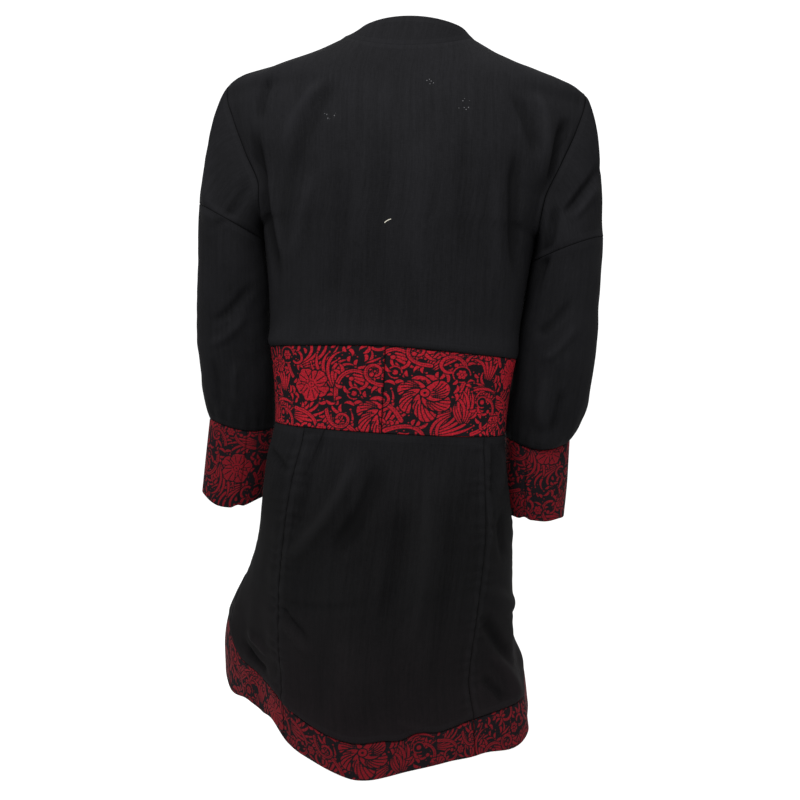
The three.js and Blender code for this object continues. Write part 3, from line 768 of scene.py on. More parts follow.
SLEEVE_CREASES = table(
    CREASE,
    (-246, -138, -218, -184, -196, -212, 7, 8, -5.0),
    (-244, -164, -226, -192, -208, -216, 7, 7, 3.6),
    (-188, -196, -186, -237, -170, -310, 8, 9, -5.3),
    (-224, -300, -196, -338, -178, -352, 9, 10, -3.8),
    (-228, -330, -206, -366, -184, -384, 9, 9, 3.4),
    (-196, -396, -191, -438, -197, -478, 12, 10, 4.0),
    (-216, -412, -212, -446, -206, -480, 8, 8, -4.6),
    (182, -170, 196, -215, 232, -246, 9, 8, -3.6),
    (232, -120, 236, -190, 226, -262, 14, 14, 2.9),
    (178, -300, 202, -338, 236, -356, 9, 9, -3.8),
    (184, -336, 208, -370, 240, -384, 9, 9, 3.1),
    (196, -400, 204, -436, 198, -472, 9, 8, 3.6),
    (232, -396, 228, -436, 232, -474, 8, 9, -3.6),
)
CREASE_POINTS = 25
CREASE_TAPER = 0.3  # share of a crease's length over which it dies away at each end
RIPPLES = 14
SEWN_FADE = 9.0  # folds fade out this far before a seam
PUCKER_REACH = 7.0


def clear_of_seams(ends, fade=SEWN_FADE):
    return np.minimum.reduce([ease(distance, 0, fade) for distance in ends.values()])


def creases(rows, x, z):
    """Soft troughs and ridges, given one by one, each tapering to nothing at both ends."""
    found = np.zeros_like(x)
    t = np.linspace(0, 1, CREASE_POINTS)
    weights = (1 - t) * (1 - 2 * t), 4 * t * (1 - t), t * (2 * t - 1)
    for *places, left, right, out in zip(*rows.values()):
        px, pz = (sum(w * place for w, place in zip(weights, places[k::2])) for k in (0, 1))
        nearest = np.argmin(np.hypot(x[..., None] - px, z[..., None] - pz), axis=-1)
        dx, dz = np.gradient(px)[nearest], np.gradient(pz)[nearest]
        far_x, far_z, step = x - px[nearest], z - pz[nearest], np.hypot(dx, dz)
        off = (far_x * dz - far_z * dx) / step
        along = t[nearest] + (far_x * dx + far_z * dz) / step**2 * t[1]
        taper = ease(along, 0, CREASE_TAPER) * ease(1 - along, 0, CREASE_TAPER)
        found = found + out * bump(off, np.where(off > 0, left, right)) * taper
    return found


def ripples(points, length, seed):
    """Gentle uneven waves of about this length all through the cloth, about 1 high."""
    draw = np.random.default_rng(seed)
    found = 0
    for _ in range(RIPPLES):
        way = unit(draw.normal(size=3)) * TURN / (length * draw.uniform(0.7, 1.5))
        found = found + np.sin(points @ way + draw.uniform(0, 6.3))
    return found / RIPPLES**0.5


def waves(points, seed, long, short):
    """Long and short ripples together, given by the length and height of each."""
    return ripples(points, long[0], seed) * long[1] + ripples(points, short[0], seed + 1) * short[1]


def pucker(points, distance, seed, wave):
    """Small ripples beside a seam, which pull in its sewn edge. Nothing at the seam itself."""
    start = np.random.default_rng(seed).uniform(0, 6.3)
    along = points[..., 2] / wave * TURN
    return np.sin(along + 1.7 * np.sin(along / 3.3 + start)) * swell(distance, PUCKER_REACH)


def blousing(grid, distance, out, reach):
    """The cloth bulges a little, unevenly, where it hangs over a seam below it. Neighbours bulge alike."""
    return (out + ripples(grid, 60, 9) * 0.9) * swell(distance, reach)


# ---- shells ----
EDGE_PLACES = np.array([0, 0.35, 0.9, 1.7])  # rows close to an edge, so that it can roll in
ROLL = 1.7  # how far from its edge the cloth starts to roll
SEAM_DIPS = {"seam": 1.2, "flat": 0.15}
FOLD_ROLL = 0.42  # share of the wall that each face turns in by at a folded edge
JOIN_DIP = 0.9  # how deep the seam sinks where a cuff's ends are sewn together
FLAT_SEAM = 2.6  # a seam pressed flat looks as faint as if it were this much further off
JOIN_SEAM = 0.3
SHARED_WAY = 4  # neighbours dip the same way this close to their seam
THIN = 2  # the inner face has every second point of the outer one


def shares(length, step, closed=False):
    """Shares from 0 to 1 about `step` apart, with a few close to each end."""
    if closed:
        count = THIN * round(length / step / THIN)
        return np.arange(count) / count
    edge = EDGE_PLACES / length
    count = THIN * max(round((length - 2 * ROLL) / step / THIN), 1)
    inside = np.linspace(edge[-1], 1 - edge[-1], count + 1)[1:-1]
    return np.concatenate([edge, inside, 1 - edge[::-1]])


def normals(grid, closed):
    along = np.roll(grid, -1, 1) - np.roll(grid, 1, 1) if closed else np.gradient(grid, axis=1)
    return unit(np.cross(along, np.gradient(grid, axis=0)))


def lengths(grid, axis):
    """Distance along the cloth from the first row or column."""
    steps = np.linalg.norm(np.diff(grid, axis=axis), axis=-1)
    return np.pad(np.cumsum(steps, axis=axis), [(1 - axis, 0), (axis, 0)])


def roll(distance):
    """How far the face has turned in at a distance from the edge: 1 at the edge, 0 past the roll."""
    t = np.clip(1 - distance / ROLL, 0, 1)
    return 1 - np.sqrt(1 - t * t)


def shell_faces(shape, inner_shape, closed):
    """Quads of the outer and inner face of a shell, and the wall that closes it along each of its edges."""
    count = math.prod(shape)
    outer = np.arange(count).reshape(shape)
    inner = count + np.arange(math.prod(inner_shape)).reshape(inner_shape)
    if closed:
        outer, inner = (np.concatenate([face, face[:, :1]], axis=1) for face in (outer, inner))
    faces = []
    for face, way in ((outer, 1), (inner, -1)):
        corners = [face[:-1, :-1], face[:-1, 1:], face[1:, 1:], face[1:, :-1]][::way]
        faces += np.stack(corners, axis=-1).reshape(-1, 4).tolist()
    borders = [np.s_[0], np.s_[-1, ::-1]]
    if not closed:
        borders += [np.s_[::-1, 0], np.s_[:, -1]]
    for border in borders:
        far, near = outer[border].tolist(), inner[border].tolist()
        for k in range(len(near) - 1):
            faces.append([*far[k * THIN : (k + 1) * THIN + 1][::-1], near[k], near[k + 1]])
    return faces


def cloth_piece(
    name, at, size, step, wall, edges, relief=None, closed=False, outs=None, start=None, join=None
):
    """Makes one sewn piece: a thin shell on the surface at(u, v), with its sewn edges rolled in.

    edges says for bottom, top, left and right whether the edge is a seam, a fold or a seam pressed so flat
    that it hardly shows. relief gives the height of the folds at each point, outs the way out along an edge
    that is shared, start where a woven figure begins and join the share round a tube where its cloth is
    sewn together.
    """
    u, v = shares(size[0], step, closed), shares(size[1], step)
    across, up = np.meshgrid(u, v)
    grid = at(across.ravel(), up.ravel()).reshape(*across.shape, 3)
    along, rise = lengths(grid, 1), lengths(grid, 0)
    ends = {"bottom": rise, "top": rise[-1] - rise}
    if not closed:
        ends |= {"left": along, "right": along[:, -1:] - along}
    raised = relief(grid, across, ends) if relief else np.zeros_like(rise)
    out = normals(grid, closed)
    grid = grid + out * raised[..., None]
    away = clear_of_seams(ends, SHARED_WAY)[..., None]
    out = unit(out * (1 - away) + normals(grid, closed) * away)
    for edge, way in (outs or {}).items():
        out[0 if edge == "bottom" else -1] = way
    dip, lift = np.zeros_like(rise), np.zeros_like(rise)
    for edge, kind in edges.items():
        rolled = roll(ends[edge])
        dip = np.maximum(dip, rolled * SEAM_DIPS.get(kind, wall * FOLD_ROLL))
        if kind == "fold":
            lift = np.maximum(lift, rolled * wall * FOLD_ROLL)
    sewn = np.minimum.reduce([ends[edge] + FLAT_SEAM * (kind == "flat") for edge, kind in edges.items()])
    if join is not None:
        joined = np.abs(across - join) * along[:, -1:]
        dip = np.maximum(dip, roll(joined) * JOIN_DIP)
        sewn = np.minimum(sewn, joined + JOIN_SEAM)
    thin = np.s_[::THIN, ::THIN]
    outer = grid - out * dip[..., None]
    inner = (grid - out * (wall - lift)[..., None])[thin]
    points = np.concatenate([outer.reshape(-1, 3), inner.reshape(-1, 3)]) * MM
    mesh = bpy.data.meshes.new(name)
    mesh.from_pydata(points.tolist(), [], shell_faces(rise.shape, inner.shape[:2], closed))
    mesh.shade_smooth()

    def keep(key, values, kind="FLOAT", field="value"):
        """Keeps a value for each point of both faces, which the finishes read."""
        both = np.concatenate([part.reshape(-1, *values.shape[2:]) for part in (values, values[thin])])
        mesh.attributes.new(key, kind, "POINT").data.foreach_set(field, both.ravel())

    if start:
        place = xyz(across * along[:, -1].mean(), up * rise[-1].mean(), 0 * rise)
        x, y = (place[..., k] / PATTERN_SIZE + start[k] for k in (0, 1))
        keep("figure", chart.at(x, y) * PATTERN_SIZE)
    else:
        place = xyz(along - along[:, -1:] / 2, rise, 0 * rise)
    keep("cut", place * MM, "FLOAT_VECTOR", "vector")
    keep("sewn", sewn * MM)
    keep("fold", raised)
    piece = bpy.data.objects.new("cloth_" + name, mesh)
    bpy.context.collection.objects.link(piece)
    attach(piece, "root")
    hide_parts(name)
    return piece


def brocade_piece(name, at, size, edges, start, **more):
    """A piece of brocade: the repeat starts from its own place on each piece, so it breaks at the seams."""
    piece = cloth_piece(name, at, size, BROCADE_STEP, BAND_WALL, edges, start=start, **more)
    piece.data.materials.append(brocade)


def black_piece(name, at, size, edges, **more):
    piece = cloth_piece(name, at, size, CLOTH_STEP, WALL, edges, **more)
    piece.data.materials.append(black_cloth)


# ---- materials ----
class Value:
    """One output of a shader node, so that sums on it read as plain arithmetic."""

    def __init__(self, finish, socket):
        self.finish, self.socket = finish, socket

    def math(self, operation, other=0.0, clamp=False):
        return self.finish.node("Math", {"operation": operation, "use_clamp": clamp}, _0=self, _1=other)

    def __add__(self, other):
        return self.math("ADD", other)

    def __sub__(self, other):
        return self.math("SUBTRACT", other)

    def __mul__(self, other):
        return self.math("MULTIPLY", other)

    def __gt__(self, other):
        return self.math("GREATER_THAN", other)

    def __lt__(self, other):
        return self.math("LESS_THAN", other)

    def __rsub__(self, other):
        return self.finish.node("Math", {"operation": "SUBTRACT"}, _0=other, _1=self)

    def __abs__(self):
        return self.math("ABSOLUTE")

    __radd__ = __add__
    __rmul__ = __mul__

    def clamped(self):
        return self.math("ADD", clamp=True)


class Finish:
    """A material under construction."""

    def __init__(self, name, **constants):
        self.material = bpy.data.materials.new(name)
        self.material.use_nodes = True
        self.tree = self.material.node_tree
        self.shader = self.tree.nodes["Principled BSDF"]
        for socket, value in constants.items():
            self.shader.inputs[socket.replace("_", " ")].default_value = value

    def node(self, kind, settings=None, output=0, **links):
        """Adds a node: its settings first, then the values or links of its sockets, by name or number."""
        made = self.tree.nodes.new("ShaderNode" + kind)
        for key, value in (settings or {}).items():
            setattr(made, key, value)
        for key, value in links.items():
            socket = made.inputs[int(key[1:]) if key[1:].isdigit() else key.replace("_", " ")]
            if isinstance(value, Value):
                self.tree.links.new(value.socket, socket)
            else:
                socket.default_value = value
        return Value(self, made.outputs[output])

    def attribute(self, name, output="Fac"):
        return self.node("Attribute", {"attribute_name": name}, output)

    def parts(self, vector):
        return [self.node("SeparateXYZ", None, k, Vector=vector) for k in range(3)]

    def noise(self, vector, scale, detail, roughness):
        return self.node("TexNoise", Vector=vector, Scale=scale, Detail=detail, Roughness=roughness)

    def grain(self, x, y, z, detail=2.0, roughness=0.6):
        """Noise drawn out along the cloth."""
        return self.noise(self.node("CombineXYZ", X=x, Y=y, Z=z), 1.0, detail, roughness)

    def mix(self, share, a, b):
        return self.node("Mix", {"data_type": "RGBA"}, 2, _0=share, _6=a, _7=b)

    def feed(self, socket, value):
        self.tree.links.new(value.socket, self.shader.inputs[socket])

    def bump(self, height, strength, distance):
        self.feed("Normal", self.node("Bump", Height=height, Strength=strength, Distance=distance))


def colour(r, g, b):
    """A colour given as it looks on a screen, from 0 to 255."""
    linear = [(c / 255 / 12.92) if c < 10.3 else ((c / 255 + 0.055) / 1.055) ** 2.4 for c in (r, g, b)]
    return (*linear, 1.0)


# Places on the coat are in metres here, heights counted down from its origin.
SKIRT_SHADE_DOWN = 0.44  # painted shade: below this depth the cloth is painted darker than on the bodice
SKIRT_PALE_DOWN = 0.62
SKIRT_BROWN_DOWN = 0.66
# painted shade: below this depth the brocade's red is painted darker
RED_SHADE_DOWN = 0.479
TUCK_AT = (0.069, 0.480)
TUCK_SLOPE = (0.945, 0.326)
TUCK_HALF = 1 / 750  # half its width
TUCK_LENGTH = 1 / 18
TUCK_ABOVE = 0.003
RIDGE = (0.0025, 0.009)  # where the turnings of a seam press through: raised in the bump, and lightened there as a painted highlight
THREAD_AT = (0.0035, 0.233)
THREAD_SLOPE = (0.49, 0.87)
THREAD_HALF = (0.0042, 0.00045)  # half its length and width
THREAD_BEND = 30
ON_BACK = 0.04  # anything this far behind the middle is on the back
SPECKS = ((-0.035, 0.071, 0.006), (-0.075, 0.097, 0.011), (0.077, 0.113, 0.009))  # and how far they scatter


def make_black_cloth():
    finish = Finish("black_cloth", IOR=1.4, Specular_IOR_Level=0.04)
    cut = finish.attribute("cut", "Vector")
    x, y, _ = finish.parts(cut)
    place = finish.node("TexCoord", None, "Object")
    across, back, height = finish.parts(place)
    deep, on_back = 0.0 - height, back > ON_BACK
    slub = finish.grain(x * 900, y * 90, 0.0)
    weft = finish.grain(x * 140, y * 1000, 3.0, 1.0, 0.5)
    streak = finish.grain(x * 260, y * 9, 5.0)
    cloud = finish.noise(cut, 9.0, 3.0, 0.55)
    yarn = slub * 0.6 + weft * 0.4
    # painted shade and highlight: the fold term darkens the cloth in the valleys of the folds and lightens
    # it on their ridges
    fold = finish.attribute("fold")
    shade = (yarn - 0.5) * 1.5 + (streak - 0.5) * 0.8 + (cloud - 0.5) * 0.7 + fold * 0.09 + 0.5
    # painted shade: the skirt's colours are darker than the bodice's, most just below the waist band and
    # less toward the hem, and browner low down
    low = (deep - SKIRT_SHADE_DOWN).math("MULTIPLY", 7.0, clamp=True)
    shade = shade + low * (deep - SKIRT_PALE_DOWN) * 1.1
    warm = (deep - SKIRT_BROWN_DOWN).math("MULTIPLY", 6.0, clamp=True)
    dark = finish.mix(low, colour(11, 11, 12.2), colour(7.2, 7.0, 7.6))
    skirt_light = finish.mix(warm, colour(15.0, 14.8, 15.6), colour(17.4, 14.2, 15.6))
    light = finish.mix(low, colour(20, 20, 21.8), skirt_light)
    cloth = finish.mix(shade.clamped(), dark, light)
    # painted shade: a dark line in the dip of every seam, and a faint painted highlight on the ridge beside
    # it where the turnings lie
    sewn = finish.attribute("sewn")
    seam = 1.0 - (sewn * 1100).clamped()
    ridge_bump_and_highlight = (sewn > RIDGE[0]) * (sewn < RIDGE[1])
    cloth = finish.mix(ridge_bump_and_highlight * 0.1, cloth, colour(28, 28, 30))
    cloth = finish.mix(seam * 0.8, cloth, colour(3, 3, 3))
    # painted shade: a dark line in the fold of a small tuck that springs from the waist beside the left back
    # seam
    off = (across - TUCK_AT[0]) * TUCK_SLOPE[0] - (deep - TUCK_AT[1]) * TUCK_SLOPE[1]
    down = (across - TUCK_AT[0]) * TUCK_SLOPE[1] + (deep - TUCK_AT[1]) * TUCK_SLOPE[0]
    tuck_shade = (1.0 - (abs(off) * (1 / TUCK_HALF)).clamped()) * (1.0 - down * (1 / TUCK_LENGTH)).clamped()
    tuck_shade = tuck_shade * (down > -TUCK_ABOVE) * on_back
    cloth = finish.mix(tuck_shade * 0.75, cloth, colour(4, 4, 4.5))
    # a short white thread end that has stuck to the back, and a scatter of pale specks near the shoulders
    aside, drop = across - THREAD_AT[0], deep - THREAD_AT[1]
    slant = drop * -THREAD_SLOPE[0] - aside * THREAD_SLOPE[1]
    off = aside * THREAD_SLOPE[0] - drop * THREAD_SLOPE[1] + slant * slant * THREAD_BEND
    thread = (abs(slant) < THREAD_HALF[0]) * (abs(off) < THREAD_HALF[1]) * on_back
    cloth = finish.mix(thread * 0.9, cloth, colour(165, 162, 150))
    fluff = finish.node("TexVoronoi", Vector=place, Scale=310.0)
    for aside, drop, far in SPECKS:
        near = abs(across - aside) + abs(deep - drop) < far
        cloth = finish.mix((fluff < 0.2) * near * on_back * 0.45, cloth, colour(100, 100, 102))
    finish.feed("Base Color", cloth)
    finish.feed("Roughness", 0.86 + (cloud - 0.5) * 0.2)
    finish.bump(yarn + (sewn * 300).clamped() * 0.6 + ridge_bump_and_highlight * 0.25, 0.3, 0.0004)
    return finish.material


def make_brocade():
    finish = Finish("brocade", IOR=1.45, Specular_IOR_Level=0.03)
    cut = finish.attribute("cut", "Vector")
    x, y, _ = finish.parts(cut)
    figure = finish.attribute("figure")
    step_x = x.math("PINGPONG", 0.0011) * 900 - 0.5
    step_y = y.math("PINGPONG", 0.0013) * 770 - 0.5
    red = ((figure + step_x * 0.14 + step_y * 0.14) * 2.8 + 0.5).clamped()
    yarn = finish.grain(x * 500, y * 900, 0.0)
    cloud = finish.noise(cut, 14.0, 3.0, 0.5)
    shade = ((yarn - 0.5) * 2.2 + (cloud - 0.5) * 0.8 + 0.5).clamped()
    height = finish.parts(finish.node("TexCoord", None, "Object"))[2]
    # painted shade: the red of the cuffs and hem band, below the waist band, is painted darker than the
    # waist band's
    low = (0.0 - height - RED_SHADE_DOWN).math("MULTIPLY", 60.0, clamp=True)
    high_red = finish.mix(shade, colour(75, 11, 18), colour(146, 23, 34))
    red_yarn = finish.mix(low, high_red, finish.mix(shade, colour(66, 11, 17), colour(98, 15, 22)))
    ground = finish.mix(shade, colour(10, 10, 11.5), colour(20, 16, 19))
    cloth = finish.mix(red, ground, red_yarn)
    # painted shade: a dark line in the dip of every seam
    sewn = finish.attribute("sewn")
    cloth = finish.mix((1.0 - (sewn * 520).clamped()) * 0.85, cloth, colour(4, 3, 3))
    finish.feed("Base Color", cloth)
    finish.feed("Roughness", 0.85 - red * 0.2 + (cloud - 0.5) * 0.1)
    finish.bump(red * 0.6 + yarn * 0.4, 0.5, 0.0005)
    return finish.material


chart = figure()
black_cloth = make_black_cloth()
brocade = make_brocade()

# ---- bodice ----
ALL_SEAMS = {"bottom": "seam", "top": "seam", "left": "seam", "right": "seam"}
PANEL_WIDTH = 215  # about, from the centre to a side seam
PANEL_HEIGHT = 360
BODICE_WAVES = (95, 0.7), (30, 0.175)
BODICE_BLOUSE = (2.4, 8.0)
NECK_BAND_SIZE = (480, 30)


def body_relief(rows, seed):
    def relief(grid, across, ends):
        found = creases(rows, grid[..., 0], grid[..., 2]) + waves(grid, seed, *BODICE_WAVES)
        return found * clear_of_seams(ends) + blousing(grid, ends["bottom"], *BODICE_BLOUSE)

    return relief


def bodice_piece(name, neck, left, right, rows, seed):
    """A panel from one place across to another (-1 right side seam, 0 centre, 1 left side seam)."""
    toward = math.copysign(1, neck[0])
    sign = -1 if left + right < 0 else 1

    def at(u, v):
        across = mix(left, right, u)
        points = bodice_at(neck, across, v)
        edge = (np.abs(across) > 1 - STEP) & (v < UNDERARM_UP + STEP)
        shoulder = (v > 1 - STEP) & (np.abs(across) >= NECK_SHARE)
        points[edge | shoulder, 1] += toward * SEAM / 2
        points[v < STEP, 2] += SEAM / 2
        if toward < 0:
            points[np.abs(across) < STEP, 0] += sign * SEAM / 2
        return points

    width = PANEL_WIDTH * abs(right - left)
    across = mix(left, right, shares(width, CLOTH_STEP))
    across = np.where(across == 0, sign * 1e-9, across)
    edges, outs = ALL_SEAMS | {"top": "flat"}, {"top": top_way_out(neck, across)}
    black_piece(name, at, (width, PANEL_HEIGHT), edges, relief=body_relief(rows, seed), outs=outs)


bodice_piece("back_bodice", NAPE, 1, -1, BACK_CREASES, 3)
bodice_piece("front_bodice_left", FRONT_NECK, 0, 1, FRONT_CREASES, 5)
bodice_piece("front_bodice_right", FRONT_NECK, -1, 0, FRONT_CREASES, 7)

neck_u = shares(NECK_BAND_SIZE[0], CLOTH_STEP)
outs = {"bottom": neck_band_at(neck_u, np.zeros_like(neck_u))[1]}
edges = {"bottom": "flat", "top": "fold", "left": "fold", "right": "fold"}
black_piece("neck_band", lambda u, v: neck_band_at(u, v)[0], NECK_BAND_SIZE, edges, outs=outs)

# ---- waist band, skirt and hem band ----
# How unevenly the hem band hangs: an angle, its spread, and how much higher its seam and hem sit there.
DRIFTS = table(
    "at spread seam hem",
    (101, 23, 42, 0),
    (89, 21, 0, -12),
    (66, 12, 0, -2),
    (44, 13, 2, 8),
    (12, 18, 1, 5),
    (-13, 7, -4, 0),
    (-21, 8, 3, 0),
    (-28, 19, 0, 6),
    (-69, 20, 0, -6),
    (-128, 30, 5, 0),
)
DRIFT_FADE = 120
SEAM_RADIUS = 120
SKIRT_WAVES = (80, 0.9), (28, 0.2)
SKIRT_BLOUSE = (1.8, 7.0)
WAIST_PIECE_WIDTH = 200
HEM_FLARE = 1.1


def drift(degrees, z):
    above, below = ease(z, HEM_TOP, HEM_TOP + DRIFT_FADE), ease(z, HEM_TOP, HEM_Z)
    at_seam = np.where(z > HEM_TOP, 1 - above, ease(z, HEM_Z, HEM_TOP))
    return sum(
        bump(degrees - at, spread) * (seam * at_seam + hem * below)
        for at, spread, seam, hem in zip(*DRIFTS.values())
    )


def skirt_surface(left, right, upper, lower):
    """The surface between two seams of the skirt, from one height down to another."""

    def at(u, v):
        z = mix(lower + (SEAM / 2 if lower > HEM_Z else 0), upper - SEAM / 2, v)
        inset = np.degrees(SEAM / 2 / SEAM_RADIUS)
        degrees = mix(seam_angle(SKIRT_SEAMS[left], z) - inset, seam_angle(SKIRT_SEAMS[right], z) + inset, u)
        return skirt_at(degrees, z + drift(degrees, z))

    return at


def skirt_relief(rows, seed, amount):
    def relief(grid, across, ends):
        found = creases(rows, grid[..., 0], grid[..., 2]) + waves(grid, seed, *SKIRT_WAVES)
        found = found * clear_of_seams(ends)
        for side, height in zip(("left", "right"), amount):
            found = found + pucker(grid, ends[side], seed, 15 + seed % 5) * height
        return found + blousing(grid, ends["bottom"], *SKIRT_BLOUSE)

    return relief


WAIST_PIECES = (
    ("back_left", "side_left", "centre", (131, 34)),
    ("back_right", "centre", "side_right", (100, 4)),
    ("front_left", "front_left", "side_left", (110, 30)),
    ("front_right", "side_right", "front_right", (30, 64)),
)
for name, left, right, start in WAIST_PIECES:
    surface = skirt_surface(left, right, WAIST_Z, WAIST_FOOT)
    size = (WAIST_PIECE_WIDTH, WAIST_Z - WAIST_FOOT)
    brocade_piece("waist_band_" + name, surface, size, ALL_SEAMS, start)

SKIRT_PIECES = (
    ("back_centre", "back_left", "back_right", 230, SKIRT_CREASES, (0.9, 0.9), (15, 20)),
    ("side_back_left", "side_left", "back_left", 150, SKIRT_CREASES, (0.3, 0.9), (120, 70)),
    ("side_back_right", "back_right", "side_right", 130, SKIRT_CREASES, (0.8, 0.3), (80, 100)),
    ("front_left", "front_left", "side_left", 260, SKIRT_FRONT_CREASES, (0.4, 0.3), (60, 40)),
    ("front_right", "side_right", "front_right", 260, SKIRT_FRONT_CREASES, (0.3, 0.4), (150, 10)),
)
for seed, (name, left, right, width, rows, amount, start) in enumerate(SKIRT_PIECES, 11):
    surface = skirt_surface(left, right, WAIST_FOOT, HEM_TOP)
    relief = skirt_relief(rows, seed, amount)
    black_piece("skirt_" + name, surface, (width, WAIST_FOOT - HEM_TOP), ALL_SEAMS, relief=relief)
    surface = skirt_surface(left, right, HEM_TOP, HEM_Z)
    edges = ALL_SEAMS | {"bottom": "fold"}
    brocade_piece("hem_band_" + name, surface, (width * HEM_FLARE, HEM_TOP - HEM_Z), edges, start)

# ---- sleeves ----
TUBE_ENDS = {"bottom": "seam", "top": "seam"}
SLEEVE_WAVES = (70, 0.9), (26, 0.2)
SLEEVE_BEHIND = (-6, 14)
FRONT_CREASE_SHIFT = 18  # in front the creases of a sleeve sit this much lower than behind
FRONT_CREASE_SHARE = 0.8
GATHERS = 17
GATHER_REACH = 13
PUFF_REACH = 9
CUFF_JOIN = 0.311  # where a cuff's ends are sewn together, in turns round it
CUFF_JOIN_DRAW = (3.0, 0.035)  # how far up that draws its edge, and how far round
CUFF_WAVES = ((0.9, 3, 0.1), (0.4, 7, 0.4))  # height, how many, and where they start
# Each sleeve puffs down over its cuff, and the cuff's edge hangs lower: where, how far round, how far down.
PUFFS = {"left": (0.34, 0.28, 12.0), "right": (0.25, 0.24, 12.0)}
CUFF_DROPS = {"left": (0.28, 0.23, 13.0), "right": (0.3, 0.2, 1.0)}
# How far round each piece of a sleeve is, and how high.
UPPER_SLEEVE_SIZE = (270, 150)
LOWER_SLEEVE_SIZE = (270, 250)
CUFF_SIZE = (252, CUFF_HEIGHT)


def sink(row, around):
    at, spread, down = row
    return down * bump(around - at, spread)


def sleeve_relief(seed, puff=None):
    """Long soft ripples, and on a lower sleeve the gathers that spring from the cuff."""

    def relief(grid, around, ends):
        behind = grid[..., 1] - grid[..., 1].mean(axis=1, keepdims=True)
        x, z = grid[..., 0], grid[..., 2]
        ahead = ease(-behind, *SLEEVE_BEHIND) * FRONT_CREASE_SHARE
        found = creases(SLEEVE_CREASES, x, z) * ease(behind, *SLEEVE_BEHIND)
        found = found + creases(SLEEVE_CREASES, x, z + FRONT_CREASE_SHIFT) * ahead
        found = (found + waves(grid, seed, *SLEEVE_WAVES)) * clear_of_seams(ends)
        if puff:
            wave = np.cos(TURN * GATHERS * around + 1.3 * np.sin(TURN * 3 * around))
            found = found + 0.7 * wave * swell(ends["top"], GATHER_REACH)
            found = found + sink(puff, around) / 4 * swell(ends["top"], PUFF_REACH)
        return found

    return relief


def sleeve_surface(name, sleeve, turn):
    """The lower sleeve, let down a little where it puffs over the cuff."""

    def at(u, v):
        points = lower_sleeve_at(sleeve, turn(u), v)
        points[..., 2] -= sink(PUFFS[name], turn(u)) * ease(v, 0.7, 1)
        return points

    return at


def cuff_surface(name, sleeve, turn):
    """A cuff, with its lower edge a little uneven and drawn up where its ends are sewn together."""

    def at(u, v):
        around = turn(u)
        edge = sum(high * np.sin(TURN * (count * around + first)) for high, count, first in CUFF_WAVES)
        drawn = CUFF_JOIN_DRAW[0] * bump(around - CUFF_JOIN, CUFF_JOIN_DRAW[1])
        points = ring_at(sleeve["side"], sleeve["cuff"], CUFF_Z - mix(SEAM, CUFF_HEIGHT, v), around)
        points[..., 2] += ease(v, 0.75, 1) * (edge + drawn)
        points[..., 2] -= sink(PUFFS[name], around) * (1 - ease(v, 0, 0.8))
        points[..., 2] -= sink(CUFF_DROPS[name], around) * ease(v, 0.2, 1)
        return points

    return at


for name, sleeve in SLEEVES.items():
    side = sleeve["side"]
    turn = (lambda u: 1 - u) if side > 0 else (lambda u: u)
    round_u = shares(UPPER_SLEEVE_SIZE[0], CLOTH_STEP, closed=True)
    seeds, start = ((31, 51), (40, 30)) if side > 0 else ((41, 61), (0, 90))
    lower = [lower_sleeve_at(sleeve, turn(round_u), np.full_like(round_u, d)) for d in (0, 0.01, 0.02)]
    surface = lambda u, v: upper_sleeve_at(sleeve, turn(u), v)
    outs = {"bottom": armhole(side, turn(round_u))[1], "top": normals(np.array(lower), True)[0]}
    more = {"relief": sleeve_relief(seeds[0]), "closed": True, "outs": outs}
    black_piece("sleeve_upper_" + name, surface, UPPER_SLEEVE_SIZE, TUBE_ENDS, **more)
    surface = sleeve_surface(name, sleeve, turn)
    more = {"relief": sleeve_relief(seeds[1], PUFFS[name]), "closed": True}
    black_piece("sleeve_lower_" + name, surface, LOWER_SLEEVE_SIZE, TUBE_ENDS, **more)
    surface = cuff_surface(name, sleeve, turn)
    more = {"closed": True, "join": turn(CUFF_JOIN)}
    brocade_piece("cuff_" + name, surface, CUFF_SIZE, TUBE_ENDS | {"top": "fold"}, start, **more)

# ---- floor, light and camera ----
FLOOR_Z = -1.42
FLOOR_RADIUS = 30
CAMERA_PLACE = (-0.094, 0.930, -0.385)
CAMERA_TURN = 5.0  # degrees round from straight behind
CAMERA_RISE = 3.5
CAMERA_ROLL = 3.0
VIEW_FOCUS = 727 / 800  # focal length over the width of the picture
SENSOR = 36


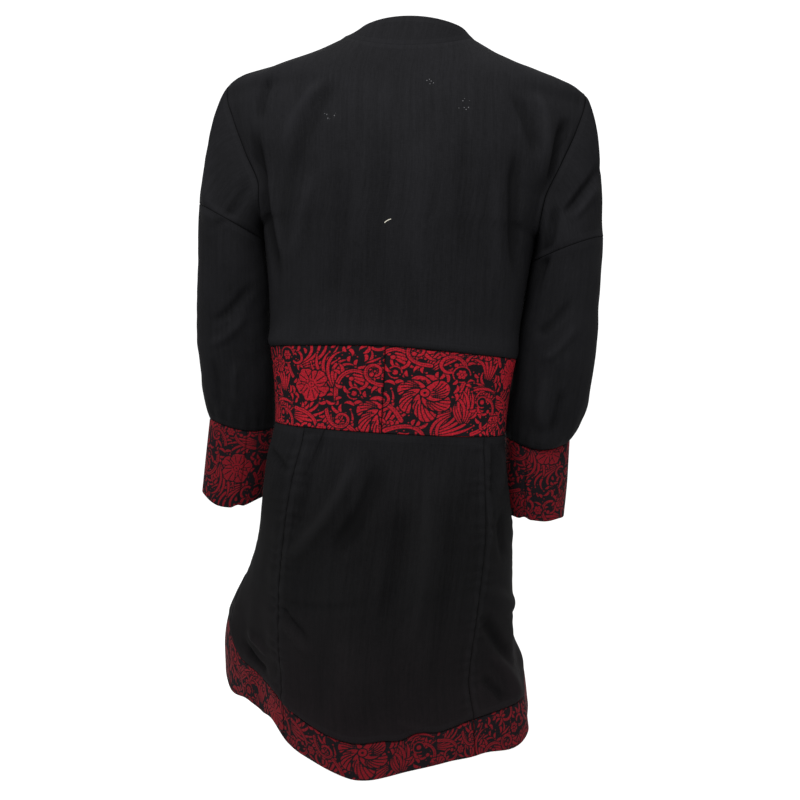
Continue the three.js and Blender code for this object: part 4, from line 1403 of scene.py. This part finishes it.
def make_floor():
    finish = Finish("pale_floor", Roughness=0.9, Specular_IOR_Level=0.2)
    cloud = finish.noise(finish.node("TexCoord", None, "Object"), 3.0, 2.0, 0.5)
    finish.feed("Base Color", finish.mix(cloud, (0.93, 0.93, 0.93, 1), (0.95, 0.95, 0.95, 1)))
    mesh = bpy.data.meshes.new("floor")
    rim = round_about(0, 0, FLOOR_RADIUS, np.linspace(0, 360, 97)[:-1])
    mesh.from_pydata([(x, y, FLOOR_Z) for x, y in rim], [], [list(range(len(rim)))])
    floor = bpy.data.objects.new("floor", mesh)
    floor.data.materials.append(finish.material)
    bpy.context.collection.objects.link(floor)
    floor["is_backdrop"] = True


def area_light(name, place, target, size, power):
    light = bpy.data.lights.new(name, "AREA")
    light.shape, light.size, light.energy = "DISK", size, power
    made = bpy.data.objects.new(name, light)
    made.location = place
    made.rotation_euler = (Vector(target) - Vector(place)).to_track_quat("-Z", "Y").to_euler()
    bpy.context.collection.objects.link(made)


def make_world(strength):
    world = bpy.data.worlds.new("studio")
    world.use_nodes = True
    background = world.node_tree.nodes["Background"].inputs
    background["Color"].default_value = (1, 1, 1, 1)
    background["Strength"].default_value = strength
    bpy.context.scene.world = world
    bpy.context.scene.view_settings.view_transform = "Standard"


def make_camera():
    turn, rise, tilt = (math.radians(a) for a in (CAMERA_TURN, CAMERA_RISE, CAMERA_ROLL))
    back = Vector((-math.sin(turn) * math.cos(rise), math.cos(turn) * math.cos(rise), math.sin(rise)))
    level = Vector((0, 0, 1)).cross(back).normalized()
    right = level * math.cos(tilt) + back.cross(level) * math.sin(tilt)
    above = back.cross(right)
    camera = bpy.data.cameras.new("camera")
    camera.sensor_width = SENSOR
    camera.lens = SENSOR * VIEW_FOCUS
    made = bpy.data.objects.new("camera", camera)
    made.matrix_world = Matrix.Translation(CAMERA_PLACE) @ Matrix((right, above, back)).transposed().to_4x4()
    bpy.context.collection.objects.link(made)
    bpy.context.scene.camera = made


make_floor()
area_light("key", (0.12, 1.0, 0.88), (0, 0.05, -0.15), 0.7, 38)
make_world(1.15)
make_camera()

size = {"cad": [list(corner) for corner in cad_box], "visual": [list(corner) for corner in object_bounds()]}
